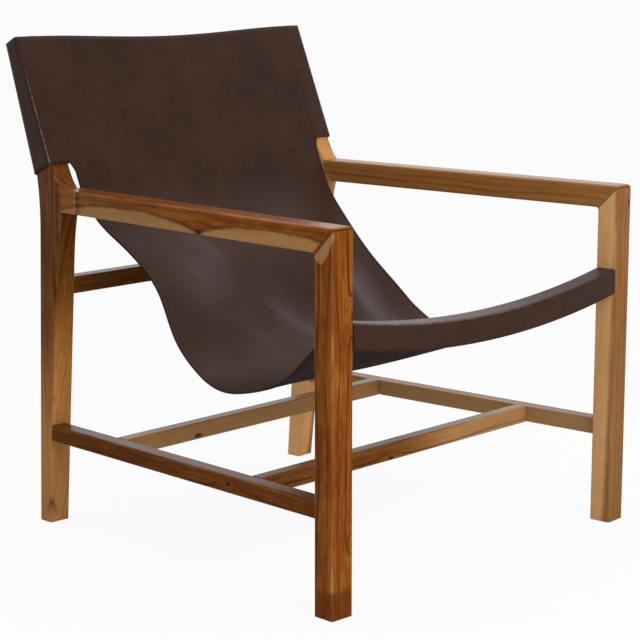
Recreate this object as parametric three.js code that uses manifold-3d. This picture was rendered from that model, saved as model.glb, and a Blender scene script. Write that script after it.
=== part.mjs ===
// Leather sling lounge chair: a fixed hardwood frame, with one sheet of leather hung between its raked
// back posts and its bowed front rail. Millimetres: X across, Y from front to back, Z up from the floor.

import * as THREE from 'three';
import { mergeVertices } from 'three/addons/utils/BufferGeometryUtils.js';
import Module from 'manifold-3d';

const wasm = await Module();
wasm.setup();

// Side frames: front legs and arms
const FRONT_WIDTH = 688; // across the outer faces of the front legs
const TOE_IN = THREE.MathUtils.degToRad(2.95); // turn of each side frame, narrower at the back
const ARM_HEIGHT = 540; // top of the arms
const ARM_WIDTH = 40; // of arms and front legs, across the chair
const ARM_THICKNESS = 36;
const ARM_LENGTH = 596; // front of the front leg to the front of the rear leg's knee
const FRONT_LEG_DEPTH = 36;
const CORNER_RADIUS = 7; // outer corner where arm and front leg meet
const CORNER_FILLET = 5; // inner corner where they meet
const EDGE_RADIUS = 3.5; // along the edges of legs and arms

// Rear legs: measures back from the knee's front face, and up or down from the top of the arms
const REAR_LEG_WIDTH = 36;
const REAR_LEAN = THREE.MathUtils.degToRad(0.77); // feet inside the arms
const FOOT_SPLAY = 54;
const FOOT_DEPTH = 28.5;
const SHANK_SPLAY = 12.4; // where the straight front of the shank ends
const SHANK_DROP = 106;
const SHANK_EASE = 41; // length of the bend from shank to knee
const KNEE_DEPTH = 55.3;
const KNEE_DROP = 70; // where the back of the knee starts to bend
const POST_RAKE = THREE.MathUtils.degToRad(22);
const POST_SETBACK = 22.7; // where the straight front of the post starts
const POST_RISE = 37;
const POST_EASE = 29; // length of the bend from knee to post
const POST_BASE_DEPTH = 39; // level depth at the foot of the straight post
const POST_BASE_RISE = 48;
const POST_TOP_DEPTH = 24;
const POST_HEIGHT = 757; // top of the posts, from the floor

// Stretchers and rails
const STRETCHER_TOP = 163.5;
const SIDE_STRETCHER_HEIGHT = 26;
const SIDE_STRETCHER_WIDTH = 26;
const SIDE_STRETCHER_INSET = 3; // behind the legs' outer faces
const CROSS_STRETCHER_HEIGHT = 27;
const CROSS_STRETCHER_DEPTH = 23;
const FRONT_CROSS_SETBACK = 182; // middle of each cross stretcher, back from the front legs
const REAR_CROSS_SETBACK = 491;
const REAR_RAIL_TOP = 397;
const REAR_RAIL_HEIGHT = 27;
const REAR_RAIL_DEPTH = 26;
const REAR_RAIL_SETBACK = 10; // behind the front of the rear legs
const BAR_EDGE_RADIUS = 2.5;
const FRONT_RAIL_TOP = 406.5; // at its ends
const FRONT_RAIL_HEIGHT = 33;
const FRONT_RAIL_DEPTH = 29.5;
const FRONT_RAIL_BOW = 28; // its middle hangs this far below its ends
const FRONT_RAIL_SETBACK = 2; // behind the middle of the front legs
const FRONT_RAIL_EDGE_RADIUS = 4;

// Joints
const GLUE_GAP = 0.3;
const TENON_LENGTH = 15;
const RAIL_TENON_LENGTH = 22;
const TENON_HEIGHT = 16;
const TENON_THICKNESS = 12;
const DOWEL_RADIUS = 4;
const DOWEL_LENGTH = 30;
const DOWEL_SPACING = 16;
const DOWEL_SIDES = 16;

// Leather sling
const LEATHER = 3;
const SLEEVE_GAP = 0.3;
const SLEEVE_RIM = 9; // sleeve above the top of the post
const SLEEVE_RIM_FALL = 5; // from the front of the rim to its back
const SLEEVE_SLANT = 16; // the sleeve's back reaches this far below its front
const SEAT_FRONT_SLOPE = THREE.MathUtils.degToRad(43.7);
const SEAT_FRONT_LENGTH = 126; // straight run down from the front rail
const SEAT_FRONT_EASE = 99; // pull of that run on the seat's curve
const BEND_REACH = 51; // where the back bends towards the posts, ahead of the knee
const BEND_DROP = 73; // and below the top of the arms
const BEND_SLOPE = THREE.MathUtils.degToRad(38);
const HIP_REACH = 150; // low on the back, ahead of that bend
const HIP_DROP = 145; // and below it
const HIP_SLOPE = THREE.MathUtils.degToRad(48);
const HIP_EASE = 106; // pull of the hip on the seat's curve
const BACK_EASE = 90; // pull of hip and bend on the back between them
const SEAT_LOW_WIDTH = 548; // at the lowest part of the seat
const HIP_WIDTH = 528;
const WAIST_WIDTH = 486; // halfway from hip to bend, where the sheet is narrowest
const ARM_CLEARANCE = 3.5; // sheet to the inner faces of the arms
const SLIT_LENGTH = 17; // below the sleeve, where the sheet draws clear of the post
const TOP_DIP = 8.5; // middle of the top edge below its ends
const SHEET_ROWS = 24;
const SHEET_COLUMNS = 6;

// Finishes
const WOOD = { color: 0x8a5527, roughness: 0.5, metalness: 0 };
const PALE_WOOD = { color: 0xb48a5a, roughness: 0.55, metalness: 0 };
const DOWEL_WOOD = { color: 0xcbb083, roughness: 0.7, metalness: 0 };
const HIDE = { color: 0x402d26, roughness: 0.55, metalness: 0 };

const ROUND_STEPS = 3; // facets across a rounded edge
const CURVE_STEPS = 8; // facets along a curve of an outline
const RAIL_STEPS = 5; // facets along half of the front rail's bow
const REACH = 2000; // longer than the chair, for cutting tools
const RIGHT = -1;
const LEFT = 1;
const SIDES = [[RIGHT, 'right'], [LEFT, 'left']];

// Solids: closed meshes that can be joined and cut
function solid(geometry) {
  const plain = geometry.index ? geometry.toNonIndexed() : geometry.clone();
  plain.deleteAttribute('normal');
  plain.deleteAttribute('uv');
  const merged = mergeVertices(plain, 1e-4);
  return new wasm.Manifold(new wasm.Mesh({
    numProp: 3,
    vertProperties: new Float32Array(merged.attributes.position.array),
    triVerts: new Uint32Array(merged.index.array),
  }));
}

function piece(name, body, finish) {
  const { vertProperties, triVerts } = body.getMesh();
  const geometry = new THREE.BufferGeometry();
  geometry.setAttribute('position', new THREE.BufferAttribute(vertProperties, 3));
  geometry.setIndex(new THREE.BufferAttribute(triVerts, 1));
  geometry.computeVertexNormals();
  const mesh = new THREE.Mesh(geometry, new THREE.MeshStandardMaterial(finish));
  mesh.name = name;
  return mesh;
}

function outline(points) {
  return new THREE.Shape(points.map(([x, y]) => new THREE.Vector2(x, y)));
}

// Extrudes an outline with rounded edges, evenly to both sides of its plane. A swell above zero makes
// it larger all over by that much.
function roundedBoard(shape, thickness, radius, swell = 0, curveSegments = CURVE_STEPS) {
  const geometry = new THREE.ExtrudeGeometry(shape, {
    depth: thickness - 2 * radius,
    bevelThickness: radius + swell,
    bevelSize: radius + swell,
    bevelOffset: -radius,
    bevelSegments: ROUND_STEPS,
    curveSegments,
  });
  return geometry.translate(0, 0, radius - thickness / 2);
}

function plainBoard(shape, thickness) {
  const geometry = new THREE.ExtrudeGeometry(shape, { depth: thickness, bevelEnabled: false });
  return geometry.translate(0, 0, -thickness / 2);
}

// An outline drawn as (back, up) becomes a board whose thickness lies across the chair.
const ACROSS = new THREE.Matrix4().makeBasis(
  new THREE.Vector3(0, 1, 0), new THREE.Vector3(0, 0, 1), new THREE.Vector3(1, 0, 0));

function box(low, high) {
  const size = high.map((value, axis) => Math.abs(value - low[axis]));
  const centre = high.map((value, axis) => (value + low[axis]) / 2);
  return new THREE.BoxGeometry(...size).translate(...centre);
}

// A bar of rounded section along +Y from the origin
function bar(width, height, length) {
  const [x, z, r] = [width / 2, height / 2, BAR_EDGE_RADIUS];
  const section = new THREE.Shape();
  section.moveTo(-x + r, -z);
  section.absarc(x - r, -z + r, r, -Math.PI / 2, 0);
  section.absarc(x - r, z - r, r, 0, Math.PI / 2);
  section.absarc(-x + r, z - r, r, Math.PI / 2, Math.PI);
  section.absarc(-x + r, -z + r, r, Math.PI, 1.5 * Math.PI);
  const geometry = new THREE.ExtrudeGeometry(section, {
    depth: length, bevelEnabled: false, curveSegments: ROUND_STEPS });
  return geometry.rotateX(Math.PI / 2).translate(0, length, 0);
}

function dowel(axis, centre, swell = 0) {
  const geometry = new THREE.CylinderGeometry(
    DOWEL_RADIUS + swell, DOWEL_RADIUS + swell, DOWEL_LENGTH + 2 * swell, DOWEL_SIDES);
  const turn = new THREE.Quaternion().setFromUnitVectors(new THREE.Vector3(0, 1, 0), axis.normalize());
  return geometry.applyQuaternion(turn).translate(...centre);
}

// Each side frame is a group turned about the outer front corner of its front leg. Inside it, x grows
// away from the sitter's right, y runs back along the arm and z up.
function sideFrame(side) {
  const frame = new THREE.Group();
  frame.position.x = side * FRONT_WIDTH / 2;
  frame.rotation.z = side * TOE_IN;
  frame.updateMatrix();
  return frame;
}

const frames = new Map(SIDES.map(([side]) => [side, sideFrame(side)]));

// A rear leg leans about the middle of its joint with the arm.
function lean(side) {
  const middle = ARM_HEIGHT - ARM_THICKNESS / 2;
  const turn = new THREE.Matrix4().makeRotationY(side * REAR_LEAN);
  const [up, down] = [middle, -middle].map((z) => new THREE.Matrix4().makeTranslation(0, 0, z));
  return up.multiply(turn).multiply(down);
}

// Places across a side frame are given as depths in from its outer face.
const inwards = (side, depth) => -side * depth;

function sideBox(side, [depth0, back0, up0], [depth1, back1, up1]) {
  return box([inwards(side, depth0), back0, up0], [inwards(side, depth1), back1, up1]);
}

// A tool drawn in a side frame, carried into the chair's own frame
function inChair(side, geometry) {
  return geometry.clone().applyMatrix4(frames.get(side).matrix);
}

function sidePlace(side, depth, back, up) {
  return new THREE.Vector3(inwards(side, depth), back, up).applyMatrix4(frames.get(side).matrix);
}

function postPlace(side, depth, back, up) {
  const place = new THREE.Vector3(inwards(side, depth), back, up).applyMatrix4(lean(side));
  return place.applyMatrix4(frames.get(side).matrix);
}

// What lies between the two side frames, past the given depth of each
function between(body, depth, leaning = false) {
  return SIDES.reduce((rest, [side]) => {
    const keep = sideBox(side, [depth, -REACH, -REACH], [depth + REACH, REACH, REACH]);
    return rest.intersect(solid(inChair(side, leaning ? keep.applyMatrix4(lean(side)) : keep)));
  }, body);
}

// Rear leg outline, as (back, up), with its post made longer by a given height
const kneeBottom = ARM_HEIGHT - ARM_THICKNESS;
const footFront = new THREE.Vector2(ARM_LENGTH + FOOT_SPLAY, 0);
const shankTop = new THREE.Vector2(ARM_LENGTH + SHANK_SPLAY, ARM_HEIGHT - SHANK_DROP);
const postStart = new THREE.Vector2(ARM_LENGTH + POST_SETBACK, ARM_HEIGHT + POST_RISE);
const kneeBack = new THREE.Vector2(ARM_LENGTH + KNEE_DEPTH, ARM_HEIGHT - KNEE_DROP);
const footBack = new THREE.Vector2(footFront.x + FOOT_DEPTH, 0);

function postFront(height) {
  return postStart.x + (height - postStart.y) * Math.tan(POST_RAKE);
}

const postBase = new THREE.Vector2(postFront(ARM_HEIGHT + POST_BASE_RISE) + POST_BASE_DEPTH,
  ARM_HEIGHT + POST_BASE_RISE);
const postBackSlope = (postFront(POST_HEIGHT) + POST_TOP_DEPTH - postBase.x) / (POST_HEIGHT - postBase.y);
const shankSlope = (shankTop.x - footFront.x) / shankTop.y;

function shankFront(height) {
  return footFront.x + height * shankSlope;
}

function postBack(height) {
  return postBase.x + (height - postBase.y) * postBackSlope;
}

function rearLegOutline(extra) {
  const backSlope = (kneeBack.x - footBack.x) / kneeBack.y;
  const bendUp = (footBack.x - postBase.x + postBase.y * postBackSlope) / (postBackSlope - backSlope);
  const top = POST_HEIGHT + extra;
  const shape = new THREE.Shape();
  shape.moveTo(shankFront(-extra), -extra);
  shape.lineTo(footBack.x - extra * backSlope, -extra);
  shape.lineTo(kneeBack.x, kneeBack.y);
  shape.quadraticCurveTo(postBack(bendUp), bendUp, postBase.x, postBase.y);
  shape.lineTo(postBack(top), top);
  shape.lineTo(postFront(top), top);
  shape.lineTo(postStart.x, postStart.y);
  shape.quadraticCurveTo(postStart.x - POST_EASE * Math.sin(POST_RAKE),
    postStart.y - POST_EASE * Math.cos(POST_RAKE), ARM_LENGTH, ARM_HEIGHT);
  shape.lineTo(ARM_LENGTH, kneeBottom);
  const shankBend = shankTop.y + SHANK_EASE;
  shape.quadraticCurveTo(shankFront(shankBend), shankBend, shankTop.x, shankTop.y);
  return shape;
}

// The rear leg as a tool, swollen all over by a given clearance and running past its two ends
function rearLegTool(side, swell) {
  const geometry = roundedBoard(rearLegOutline(SLEEVE_RIM * 3), REAR_LEG_WIDTH, EDGE_RADIUS, swell);
  geometry.applyMatrix4(ACROSS).translate(inwards(side, REAR_LEG_WIDTH / 2), 0, 0);
  return geometry.applyMatrix4(lean(side));
}

function heightsBetween(low, high) {
  return solid(box([-REACH, -REACH, low], [REACH, REACH, high]));
}

// Joints, each in its side frame: depth, back and up of a tenon's box, and the dowels' places
const stretcherUp = STRETCHER_TOP - SIDE_STRETCHER_HEIGHT / 2;
const stretcherDepth = SIDE_STRETCHER_INSET + SIDE_STRETCHER_WIDTH / 2;
const crossUp = STRETCHER_TOP - CROSS_STRETCHER_HEIGHT / 2;
const stretcherInner = SIDE_STRETCHER_INSET + SIDE_STRETCHER_WIDTH;
const rearRailUp = REAR_RAIL_TOP - REAR_RAIL_HEIGHT / 2;
const rearRailBack = shankFront(rearRailUp) + REAR_RAIL_SETBACK + REAR_RAIL_DEPTH / 2;
const frontRailBack = FRONT_LEG_DEPTH / 2 + FRONT_RAIL_SETBACK;
const frontRailEndUp = FRONT_RAIL_TOP - FRONT_RAIL_HEIGHT / 2;

// A tenon that runs into a side frame from its inner side
function tenonAcross(side, face, back, up, length, swell = 0) {
  const [thick, high] = [TENON_THICKNESS / 2 + swell, TENON_HEIGHT / 2 + swell];
  return sideBox(side, [face - length - swell, back - thick, up - high],
    [face + length, back + thick, up + high]);
}

// A tenon that runs along a side frame
function tenonAlong(side, start, end, swell = 0) {
  const [thick, high] = [TENON_THICKNESS / 2 + swell, TENON_HEIGHT / 2 + swell];
  return sideBox(side, [stretcherDepth - thick, start - swell, stretcherUp - high],
    [stretcherDepth + thick, end + swell, stretcherUp + high]);
}

const stretcherStart = FRONT_LEG_DEPTH - TENON_LENGTH;
const stretcherEnd = shankFront(stretcherUp) + TENON_LENGTH;

const crossJoints = [FRONT_CROSS_SETBACK, REAR_CROSS_SETBACK];

function crossTenon(side, back, swell) {
  return tenonAcross(side, stretcherInner, back, crossUp, TENON_LENGTH, swell);
}

function rearRailTenon(side, swell) {
  const tenon = tenonAcross(side, REAR_LEG_WIDTH, rearRailBack, rearRailUp, RAIL_TENON_LENGTH, swell);
  return tenon.applyMatrix4(lean(side));
}

function frontRailTenon(side, swell) {
  return tenonAcross(side, ARM_WIDTH, frontRailBack, frontRailEndUp, RAIL_TENON_LENGTH, swell);
}

function mitreDowels(side, swell) {
  return [['outer', -1], ['inner', 1]].map(([place, step]) => {
    const depth = ARM_WIDTH / 2 + step * DOWEL_SPACING / 2;
    const centre = [inwards(side, depth), FRONT_LEG_DEPTH / 2, ARM_HEIGHT - ARM_THICKNESS / 2];
    return [place, dowel(new THREE.Vector3(0, ARM_THICKNESS, FRONT_LEG_DEPTH), centre, swell)];
  });
}

function armDowels(side, swell) {
  return [['lower', -1], ['upper', 1]].map(([place, step]) => {
    const up = ARM_HEIGHT - ARM_THICKNESS / 2 + step * DOWEL_SPACING / 2;
    const centre = [inwards(side, REAR_LEG_WIDTH / 2), ARM_LENGTH, up];
    return [place, dowel(new THREE.Vector3(0, 1, 0), centre, swell)];
  });
}

function drill(body, holes) {
  return holes.reduce((rest, hole) => rest.subtract(solid(hole)), body);
}

const dowelHoles = (dowels) => dowels.map(([, geometry]) => geometry);

// Front leg and arm: one bent outline, parted along the mitre
function legAndArm(side) {
  const [depth, top, under] = [FRONT_LEG_DEPTH, ARM_HEIGHT, ARM_HEIGHT - ARM_THICKNESS];
  const [end, foot] = [ARM_LENGTH + 2 * EDGE_RADIUS, -2 * EDGE_RADIUS];
  const shape = new THREE.Shape();
  shape.moveTo(0, foot);
  shape.lineTo(depth, foot);
  shape.lineTo(depth, under - CORNER_FILLET);
  shape.absarc(depth + CORNER_FILLET, under - CORNER_FILLET, CORNER_FILLET, Math.PI, Math.PI / 2, true);
  shape.lineTo(end, under);
  shape.lineTo(end, top);
  shape.lineTo(CORNER_RADIUS, top);
  shape.absarc(CORNER_RADIUS, top - CORNER_RADIUS, CORNER_RADIUS, Math.PI / 2, Math.PI, false);
  const board = roundedBoard(shape, ARM_WIDTH, EDGE_RADIUS).applyMatrix4(ACROSS);
  return solid(board.translate(inwards(side, ARM_WIDTH / 2), 0, 0));
}

// The mitre runs through the outer and inner corners, and the glue gap is shared by both pieces.
const mitreSlope = ARM_THICKNESS / FRONT_LEG_DEPTH;
const mitreShift = GLUE_GAP / 2 * Math.hypot(1, mitreSlope);

function mitreKeep(direction) {
  const lift = direction * mitreShift;
  const points = [
    [-REACH, ARM_HEIGHT + REACH * mitreSlope + lift],
    [REACH, ARM_HEIGHT - REACH * mitreSlope + lift],
    [direction * REACH, ARM_HEIGHT + direction * REACH * mitreSlope + lift],
  ];
  const shape = outline(direction > 0 ? points : [points[1], points[0], points[2]]);
  return solid(plainBoard(shape, REACH).applyMatrix4(ACROSS));
}

function frontLeg(side) {
  const body = legAndArm(side).intersect(mitreKeep(-1)).intersect(heightsBetween(0, ARM_HEIGHT));
  return drill(body, [tenonAlong(side, stretcherStart, stretcherEnd, GLUE_GAP),
    frontRailTenon(side, GLUE_GAP), ...dowelHoles(mitreDowels(side, GLUE_GAP))]);
}

function arm(side) {
  const keep = sideBox(side, [-REACH, -REACH, -REACH], [REACH, ARM_LENGTH - GLUE_GAP, REACH]);
  const body = legAndArm(side).intersect(mitreKeep(1)).intersect(solid(keep));
  return drill(body, [...dowelHoles(mitreDowels(side, GLUE_GAP)), ...dowelHoles(armDowels(side, GLUE_GAP))]);
}

function rearLeg(side) {
  const body = solid(rearLegTool(side, 0)).intersect(heightsBetween(0, POST_HEIGHT));
  return drill(body, [tenonAlong(side, stretcherStart, stretcherEnd, GLUE_GAP), rearRailTenon(side, GLUE_GAP),
    ...dowelHoles(armDowels(side, GLUE_GAP))]);
}

// Shouldered at the front leg, and at the sloping front of the rear leg
function sideStretcher(side) {
  const [low, high] = [STRETCHER_TOP - SIDE_STRETCHER_HEIGHT, STRETCHER_TOP];
  const front = FRONT_LEG_DEPTH + GLUE_GAP;
  const run = bar(SIDE_STRETCHER_WIDTH, SIDE_STRETCHER_HEIGHT, stretcherEnd);
  run.translate(inwards(side, stretcherDepth), 0, stretcherUp);
  const shoulders = outline([
    [front, low - 1], [shankFront(low - 1) - GLUE_GAP, low - 1],
    [shankFront(high + 1) - GLUE_GAP, high + 1], [front, high + 1],
  ]);
  const keep = solid(plainBoard(shoulders, REACH).applyMatrix4(ACROSS));
  const body = solid(run).intersect(keep).add(solid(tenonAlong(side, stretcherStart, stretcherEnd)));
  return drill(body, crossJoints.map((back) => crossTenon(side, back, GLUE_GAP)));
}

// A straight bar from side to side, with a tenon at each end
function crossBar(depth, height, back, up, face, tenon, leaning = false) {
  const middle = sidePlace(RIGHT, face, back, up);
  const run = bar(depth, height, FRONT_WIDTH).translate(0, -FRONT_WIDTH / 2, 0);
  run.rotateZ(Math.PI / 2).translate(0, middle.y, up);
  const body = between(solid(run), face + GLUE_GAP, leaning);
  return SIDES.reduce((whole, [side]) => whole.add(solid(inChair(side, tenon(side)))), body);
}

function crossStretcher(back) {
  return crossBar(CROSS_STRETCHER_DEPTH, CROSS_STRETCHER_HEIGHT, back, crossUp, stretcherInner,
    (side) => crossTenon(side, back));
}

function rearRail() {
  return crossBar(REAR_RAIL_DEPTH, REAR_RAIL_HEIGHT, rearRailBack, rearRailUp, REAR_LEG_WIDTH,
    (side) => rearRailTenon(side), true);
}

// Front rail: an arc of a circle seen from the front, lowest in the middle
const railEnd = sidePlace(LEFT, ARM_WIDTH, frontRailBack, frontRailEndUp);
const railRadius = (railEnd.x ** 2 + FRONT_RAIL_BOW ** 2) / (2 * FRONT_RAIL_BOW);
const railCentreUp = frontRailEndUp - FRONT_RAIL_BOW + railRadius;

function railArc(across, radius) {
  return railCentreUp - Math.sqrt(radius ** 2 - across ** 2);
}

function frontRailTool(swell) {
  const half = FRONT_RAIL_HEIGHT / 2;
  const spread = Math.asin(FRONT_WIDTH / 2 / railRadius);
  const [start, end] = [-Math.PI / 2 - spread, -Math.PI / 2 + spread];
  const shape = new THREE.Shape();
  shape.absarc(0, railCentreUp, railRadius + half, start, end, false);
  shape.absarc(0, railCentreUp, railRadius - half, end, start, true);
  const board = roundedBoard(shape, FRONT_RAIL_DEPTH, FRONT_RAIL_EDGE_RADIUS, swell, RAIL_STEPS);
  return solid(board.rotateX(Math.PI / 2).translate(0, railEnd.y, 0));
}

function frontRail() {
  const body = between(frontRailTool(0), ARM_WIDTH + GLUE_GAP);
  return SIDES.reduce((whole, [side]) => whole.add(solid(inChair(side, frontRailTenon(side)))), body);
}

// Sling: its middle surface seen from the side, as (back, up), from the front rail to the top edge.
// Each pull is a place along the tangent at the end of a curve.
const skin = SLEEVE_GAP + LEATHER / 2;
const postSkin = skin / Math.cos(POST_RAKE);
const sleeveFoot = postStart.y;
const sleeveTop = POST_HEIGHT + SLEEVE_RIM;
const chairBack = (back) => postPlace(RIGHT, REAR_LEG_WIDTH, back, ARM_HEIGHT).y;

function sheetPath() {
  const heading = (slope) => new THREE.Vector2(Math.cos(slope), Math.sin(slope));
  const [down, hipRise, bendRise] = [-SEAT_FRONT_SLOPE, HIP_SLOPE, BEND_SLOPE].map(heading);
  const post = heading(Math.PI / 2 - POST_RAKE);
  const pull = (place, direction, ease) => place.clone().addScaledVector(direction, ease).toArray();
  const start = new THREE.Vector2(railEnd.y + FRONT_RAIL_DEPTH / 2, FRONT_RAIL_TOP);
  const seatFront = start.clone().addScaledVector(down, SEAT_FRONT_LENGTH);
  const bend = new THREE.Vector2(chairBack(ARM_LENGTH) - BEND_REACH, ARM_HEIGHT - BEND_DROP);
  const hip = new THREE.Vector2(bend.x - HIP_REACH, bend.y - HIP_DROP);
  const lift = new THREE.Vector2(chairBack(postFront(ARM_HEIGHT)) - postSkin, ARM_HEIGHT);
  const meeting = bend.clone().sub(lift).cross(bendRise) / post.cross(bendRise);
  const path = new THREE.Path();
  path.moveTo(...start);
  path.lineTo(...seatFront);
  path.bezierCurveTo(...pull(seatFront, down, SEAT_FRONT_EASE), ...pull(hip, hipRise, -HIP_EASE), ...hip);
  path.bezierCurveTo(...pull(hip, hipRise, BACK_EASE), ...pull(bend, bendRise, -BACK_EASE), ...bend);
  path.quadraticCurveTo(...pull(lift, post, meeting), ...lift);
  path.lineTo(chairBack(postFront(sleeveTop)) - postSkin, sleeveTop);
  return path;
}

// Half width of the sheet at each station along the path, eased in between
function sheetStations(path) {
  const [frontEnd, hipEnd, bendEnd, postEnd, top] = path.getCurveLengths();
  const onPost = (up) => postEnd + (up - ARM_HEIGHT) / Math.cos(POST_RAKE);
  const atPost = (up) => postPlace(LEFT, REAR_LEG_WIDTH + skin, postFront(up), up).x;
  const atArm = sidePlace(LEFT, ARM_WIDTH + ARM_CLEARANCE, ARM_LENGTH, ARM_HEIGHT).x;
  return [
    [0, railEnd.x - 2 * LEATHER],
    [(frontEnd + hipEnd) / 2, SEAT_LOW_WIDTH / 2],
    [hipEnd, HIP_WIDTH / 2],
    [(hipEnd + bendEnd) / 2, WAIST_WIDTH / 2],
    [postEnd, atArm],
    [onPost(sleeveFoot) - SLIT_LENGTH, atArm],
    [onPost(sleeveFoot), atPost(sleeveFoot)],
    [top, atPost(sleeveTop)],
  ];
}

function halfWidthAt(stations, length) {
  const next = Math.max(1, stations.findIndex(([place]) => place >= length - 1e-6));
  const [[from, wide], [to, wider]] = [stations[next - 1], stations[next]];
  return THREE.MathUtils.lerp(wide, wider, THREE.MathUtils.smoothstep(length, from, to));
}

// A flat slab bent along the path. The seat's front takes on the rail's bow, and the top edge dips.
function sheet() {
  const path = sheetPath();
  const stations = sheetStations(path);
  const length = path.getLength();
  const [, [seatLow]] = stations;
  const [postEnd] = path.getCurveLengths().slice(3);
  const slab = new THREE.BoxGeometry(2, 1, 1, SHEET_COLUMNS, SHEET_ROWS, 1).translate(0, 0.5, 0);
  const places = slab.attributes.position;
  for (let i = 0; i < places.count; i += 1) {
    const share = THREE.MathUtils.clamp(places.getY(i), 0, 1);
    const along = share * length;
    const middle = 1 - places.getX(i) ** 2;
    const dip = TOP_DIP * middle * Math.max(0, (along - postEnd) / (length - postEnd)) ** 2;
    const at = path.getPointAt(THREE.MathUtils.clamp(share - dip / length, 0, 1));
    const tangent = path.getTangentAt(share);
    const across = places.getX(i) * halfWidthAt(stations, along);
    const fade = Math.max(0, 1 - along / seatLow) ** 2;
    const bow = fade * (railArc(across, railRadius) - frontRailEndUp);
    const off = places.getZ(i) * LEATHER;
    places.setXYZ(i, across, at.x - off * tangent.y, at.y + bow + off * tangent.x);
  }
  return solid(slab);
}

// The sleeve's outer wall on one post, with its slanting mouth and its rim
function sleeve(side) {
  const [front, back] = [postFront(sleeveFoot), postBack(sleeveFoot)];
  const [rimFront, rimBack] = [postFront(sleeveTop), postFront(sleeveTop) + POST_TOP_DEPTH];
  const slant = SLEEVE_SLANT / (back - front);
  const fall = SLEEVE_RIM_FALL / POST_TOP_DEPTH;
  const past = KNEE_DEPTH;
  const keep = outline([
    [front - past, sleeveFoot + past * slant],
    [back + past, sleeveFoot - SLEEVE_SLANT - past * slant],
    [rimBack + past, sleeveTop - SLEEVE_RIM_FALL - past * fall],
    [rimFront - past, sleeveTop + past * fall],
  ]);
  const body = solid(inChair(side, rearLegTool(side, SLEEVE_GAP + LEATHER)));
  return body.intersect(solid(inChair(side, plainBoard(keep, REACH).applyMatrix4(ACROSS))));
}

function sling() {
  const loop = between(frontRailTool(SLEEVE_GAP + LEATHER), ARM_WIDTH + LEATHER / 2);
  const joined = SIDES.reduce((whole, [side]) => whole.add(sleeve(side)), loop.add(sheet()));
  const posts = SIDES.map(([side]) => inChair(side, rearLegTool(side, SLEEVE_GAP)));
  return drill(joined.subtract(frontRailTool(SLEEVE_GAP)), posts);
}

const chair = new THREE.Group();
chair.name = 'sling_lounge_chair';

for (const [side, name] of SIDES) {
  const frame = frames.get(side);
  frame.add(
    piece(`front_leg_${name}`, frontLeg(side), side === LEFT ? PALE_WOOD : WOOD),
    piece(`arm_${name}`, arm(side), WOOD),
    piece(`rear_leg_${name}`, rearLeg(side), WOOD),
    piece(`side_stretcher_${name}`, sideStretcher(side), WOOD),
  );
  for (const [place, geometry] of mitreDowels(side)) {
    frame.add(piece(`mitre_dowel_${name}_${place}`, solid(geometry), DOWEL_WOOD));
  }
  for (const [place, geometry] of armDowels(side)) {
    frame.add(piece(`arm_dowel_${name}_${place}`, solid(geometry), DOWEL_WOOD));
  }
  chair.add(frame);
}

chair.add(
  piece('cross_stretcher_front', crossStretcher(FRONT_CROSS_SETBACK), WOOD),
  piece('cross_stretcher_rear', crossStretcher(REAR_CROSS_SETBACK), WOOD),
  piece('rear_rail', rearRail(), WOOD),
  piece('front_rail', frontRail(), WOOD),
  piece('sling', sling(), HIDE),
);

// The chair's origin lies on the floor under the middle of its box.
chair.updateMatrixWorld(true);
const middle = new THREE.Box3().setFromObject(chair, true).getCenter(new THREE.Vector3());
chair.position.set(-middle.x, -middle.y, 0);

export default chair;
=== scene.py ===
"""Finish of a sling lounge chair: oiled hardwood, one sewn sheet of leather and a pale studio."""

import bisect
import math
from typing import NamedTuple

import bmesh
import bpy
from bpy.props import FloatProperty, FloatVectorProperty, PointerProperty
from bpy.types import Operator, Panel, PropertyGroup
from mathutils import Euler, Matrix, Vector
from mathutils.geometry import interpolate_bezier


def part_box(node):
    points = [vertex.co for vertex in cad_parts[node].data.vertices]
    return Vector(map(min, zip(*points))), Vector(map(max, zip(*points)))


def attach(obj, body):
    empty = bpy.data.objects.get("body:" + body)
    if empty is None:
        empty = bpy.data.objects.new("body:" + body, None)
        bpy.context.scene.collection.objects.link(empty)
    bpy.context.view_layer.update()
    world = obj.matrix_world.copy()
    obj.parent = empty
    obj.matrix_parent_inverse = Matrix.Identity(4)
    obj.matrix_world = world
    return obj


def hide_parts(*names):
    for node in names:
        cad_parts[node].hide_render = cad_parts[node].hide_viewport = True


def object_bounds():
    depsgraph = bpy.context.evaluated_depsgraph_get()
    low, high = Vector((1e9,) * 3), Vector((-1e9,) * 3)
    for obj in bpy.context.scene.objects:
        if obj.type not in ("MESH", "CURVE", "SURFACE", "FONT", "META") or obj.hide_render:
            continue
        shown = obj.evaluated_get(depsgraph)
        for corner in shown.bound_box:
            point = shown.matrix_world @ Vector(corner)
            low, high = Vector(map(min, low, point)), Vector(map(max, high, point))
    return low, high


bl_info = {
    "name": "Sling Lounge Chair",
    "version": (1, 0, 0),
    "blender": (4, 5, 0),
    "location": "3D View > Sidebar > Sling Chair",
    "description": "Finishes a sling lounge chair with oiled hardwood and sewn leather",
    "category": "Object",
}

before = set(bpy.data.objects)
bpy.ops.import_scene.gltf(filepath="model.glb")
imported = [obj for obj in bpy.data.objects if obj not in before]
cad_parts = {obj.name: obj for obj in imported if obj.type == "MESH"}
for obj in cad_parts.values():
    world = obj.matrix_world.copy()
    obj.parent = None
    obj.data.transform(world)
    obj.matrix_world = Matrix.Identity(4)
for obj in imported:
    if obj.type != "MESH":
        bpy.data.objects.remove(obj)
CAD_BOX = [list(corner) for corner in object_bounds()]

MILLIMETRES = 1000
RIGHT = -1
LEFT = 1
SIDES = (RIGHT, LEFT)

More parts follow.
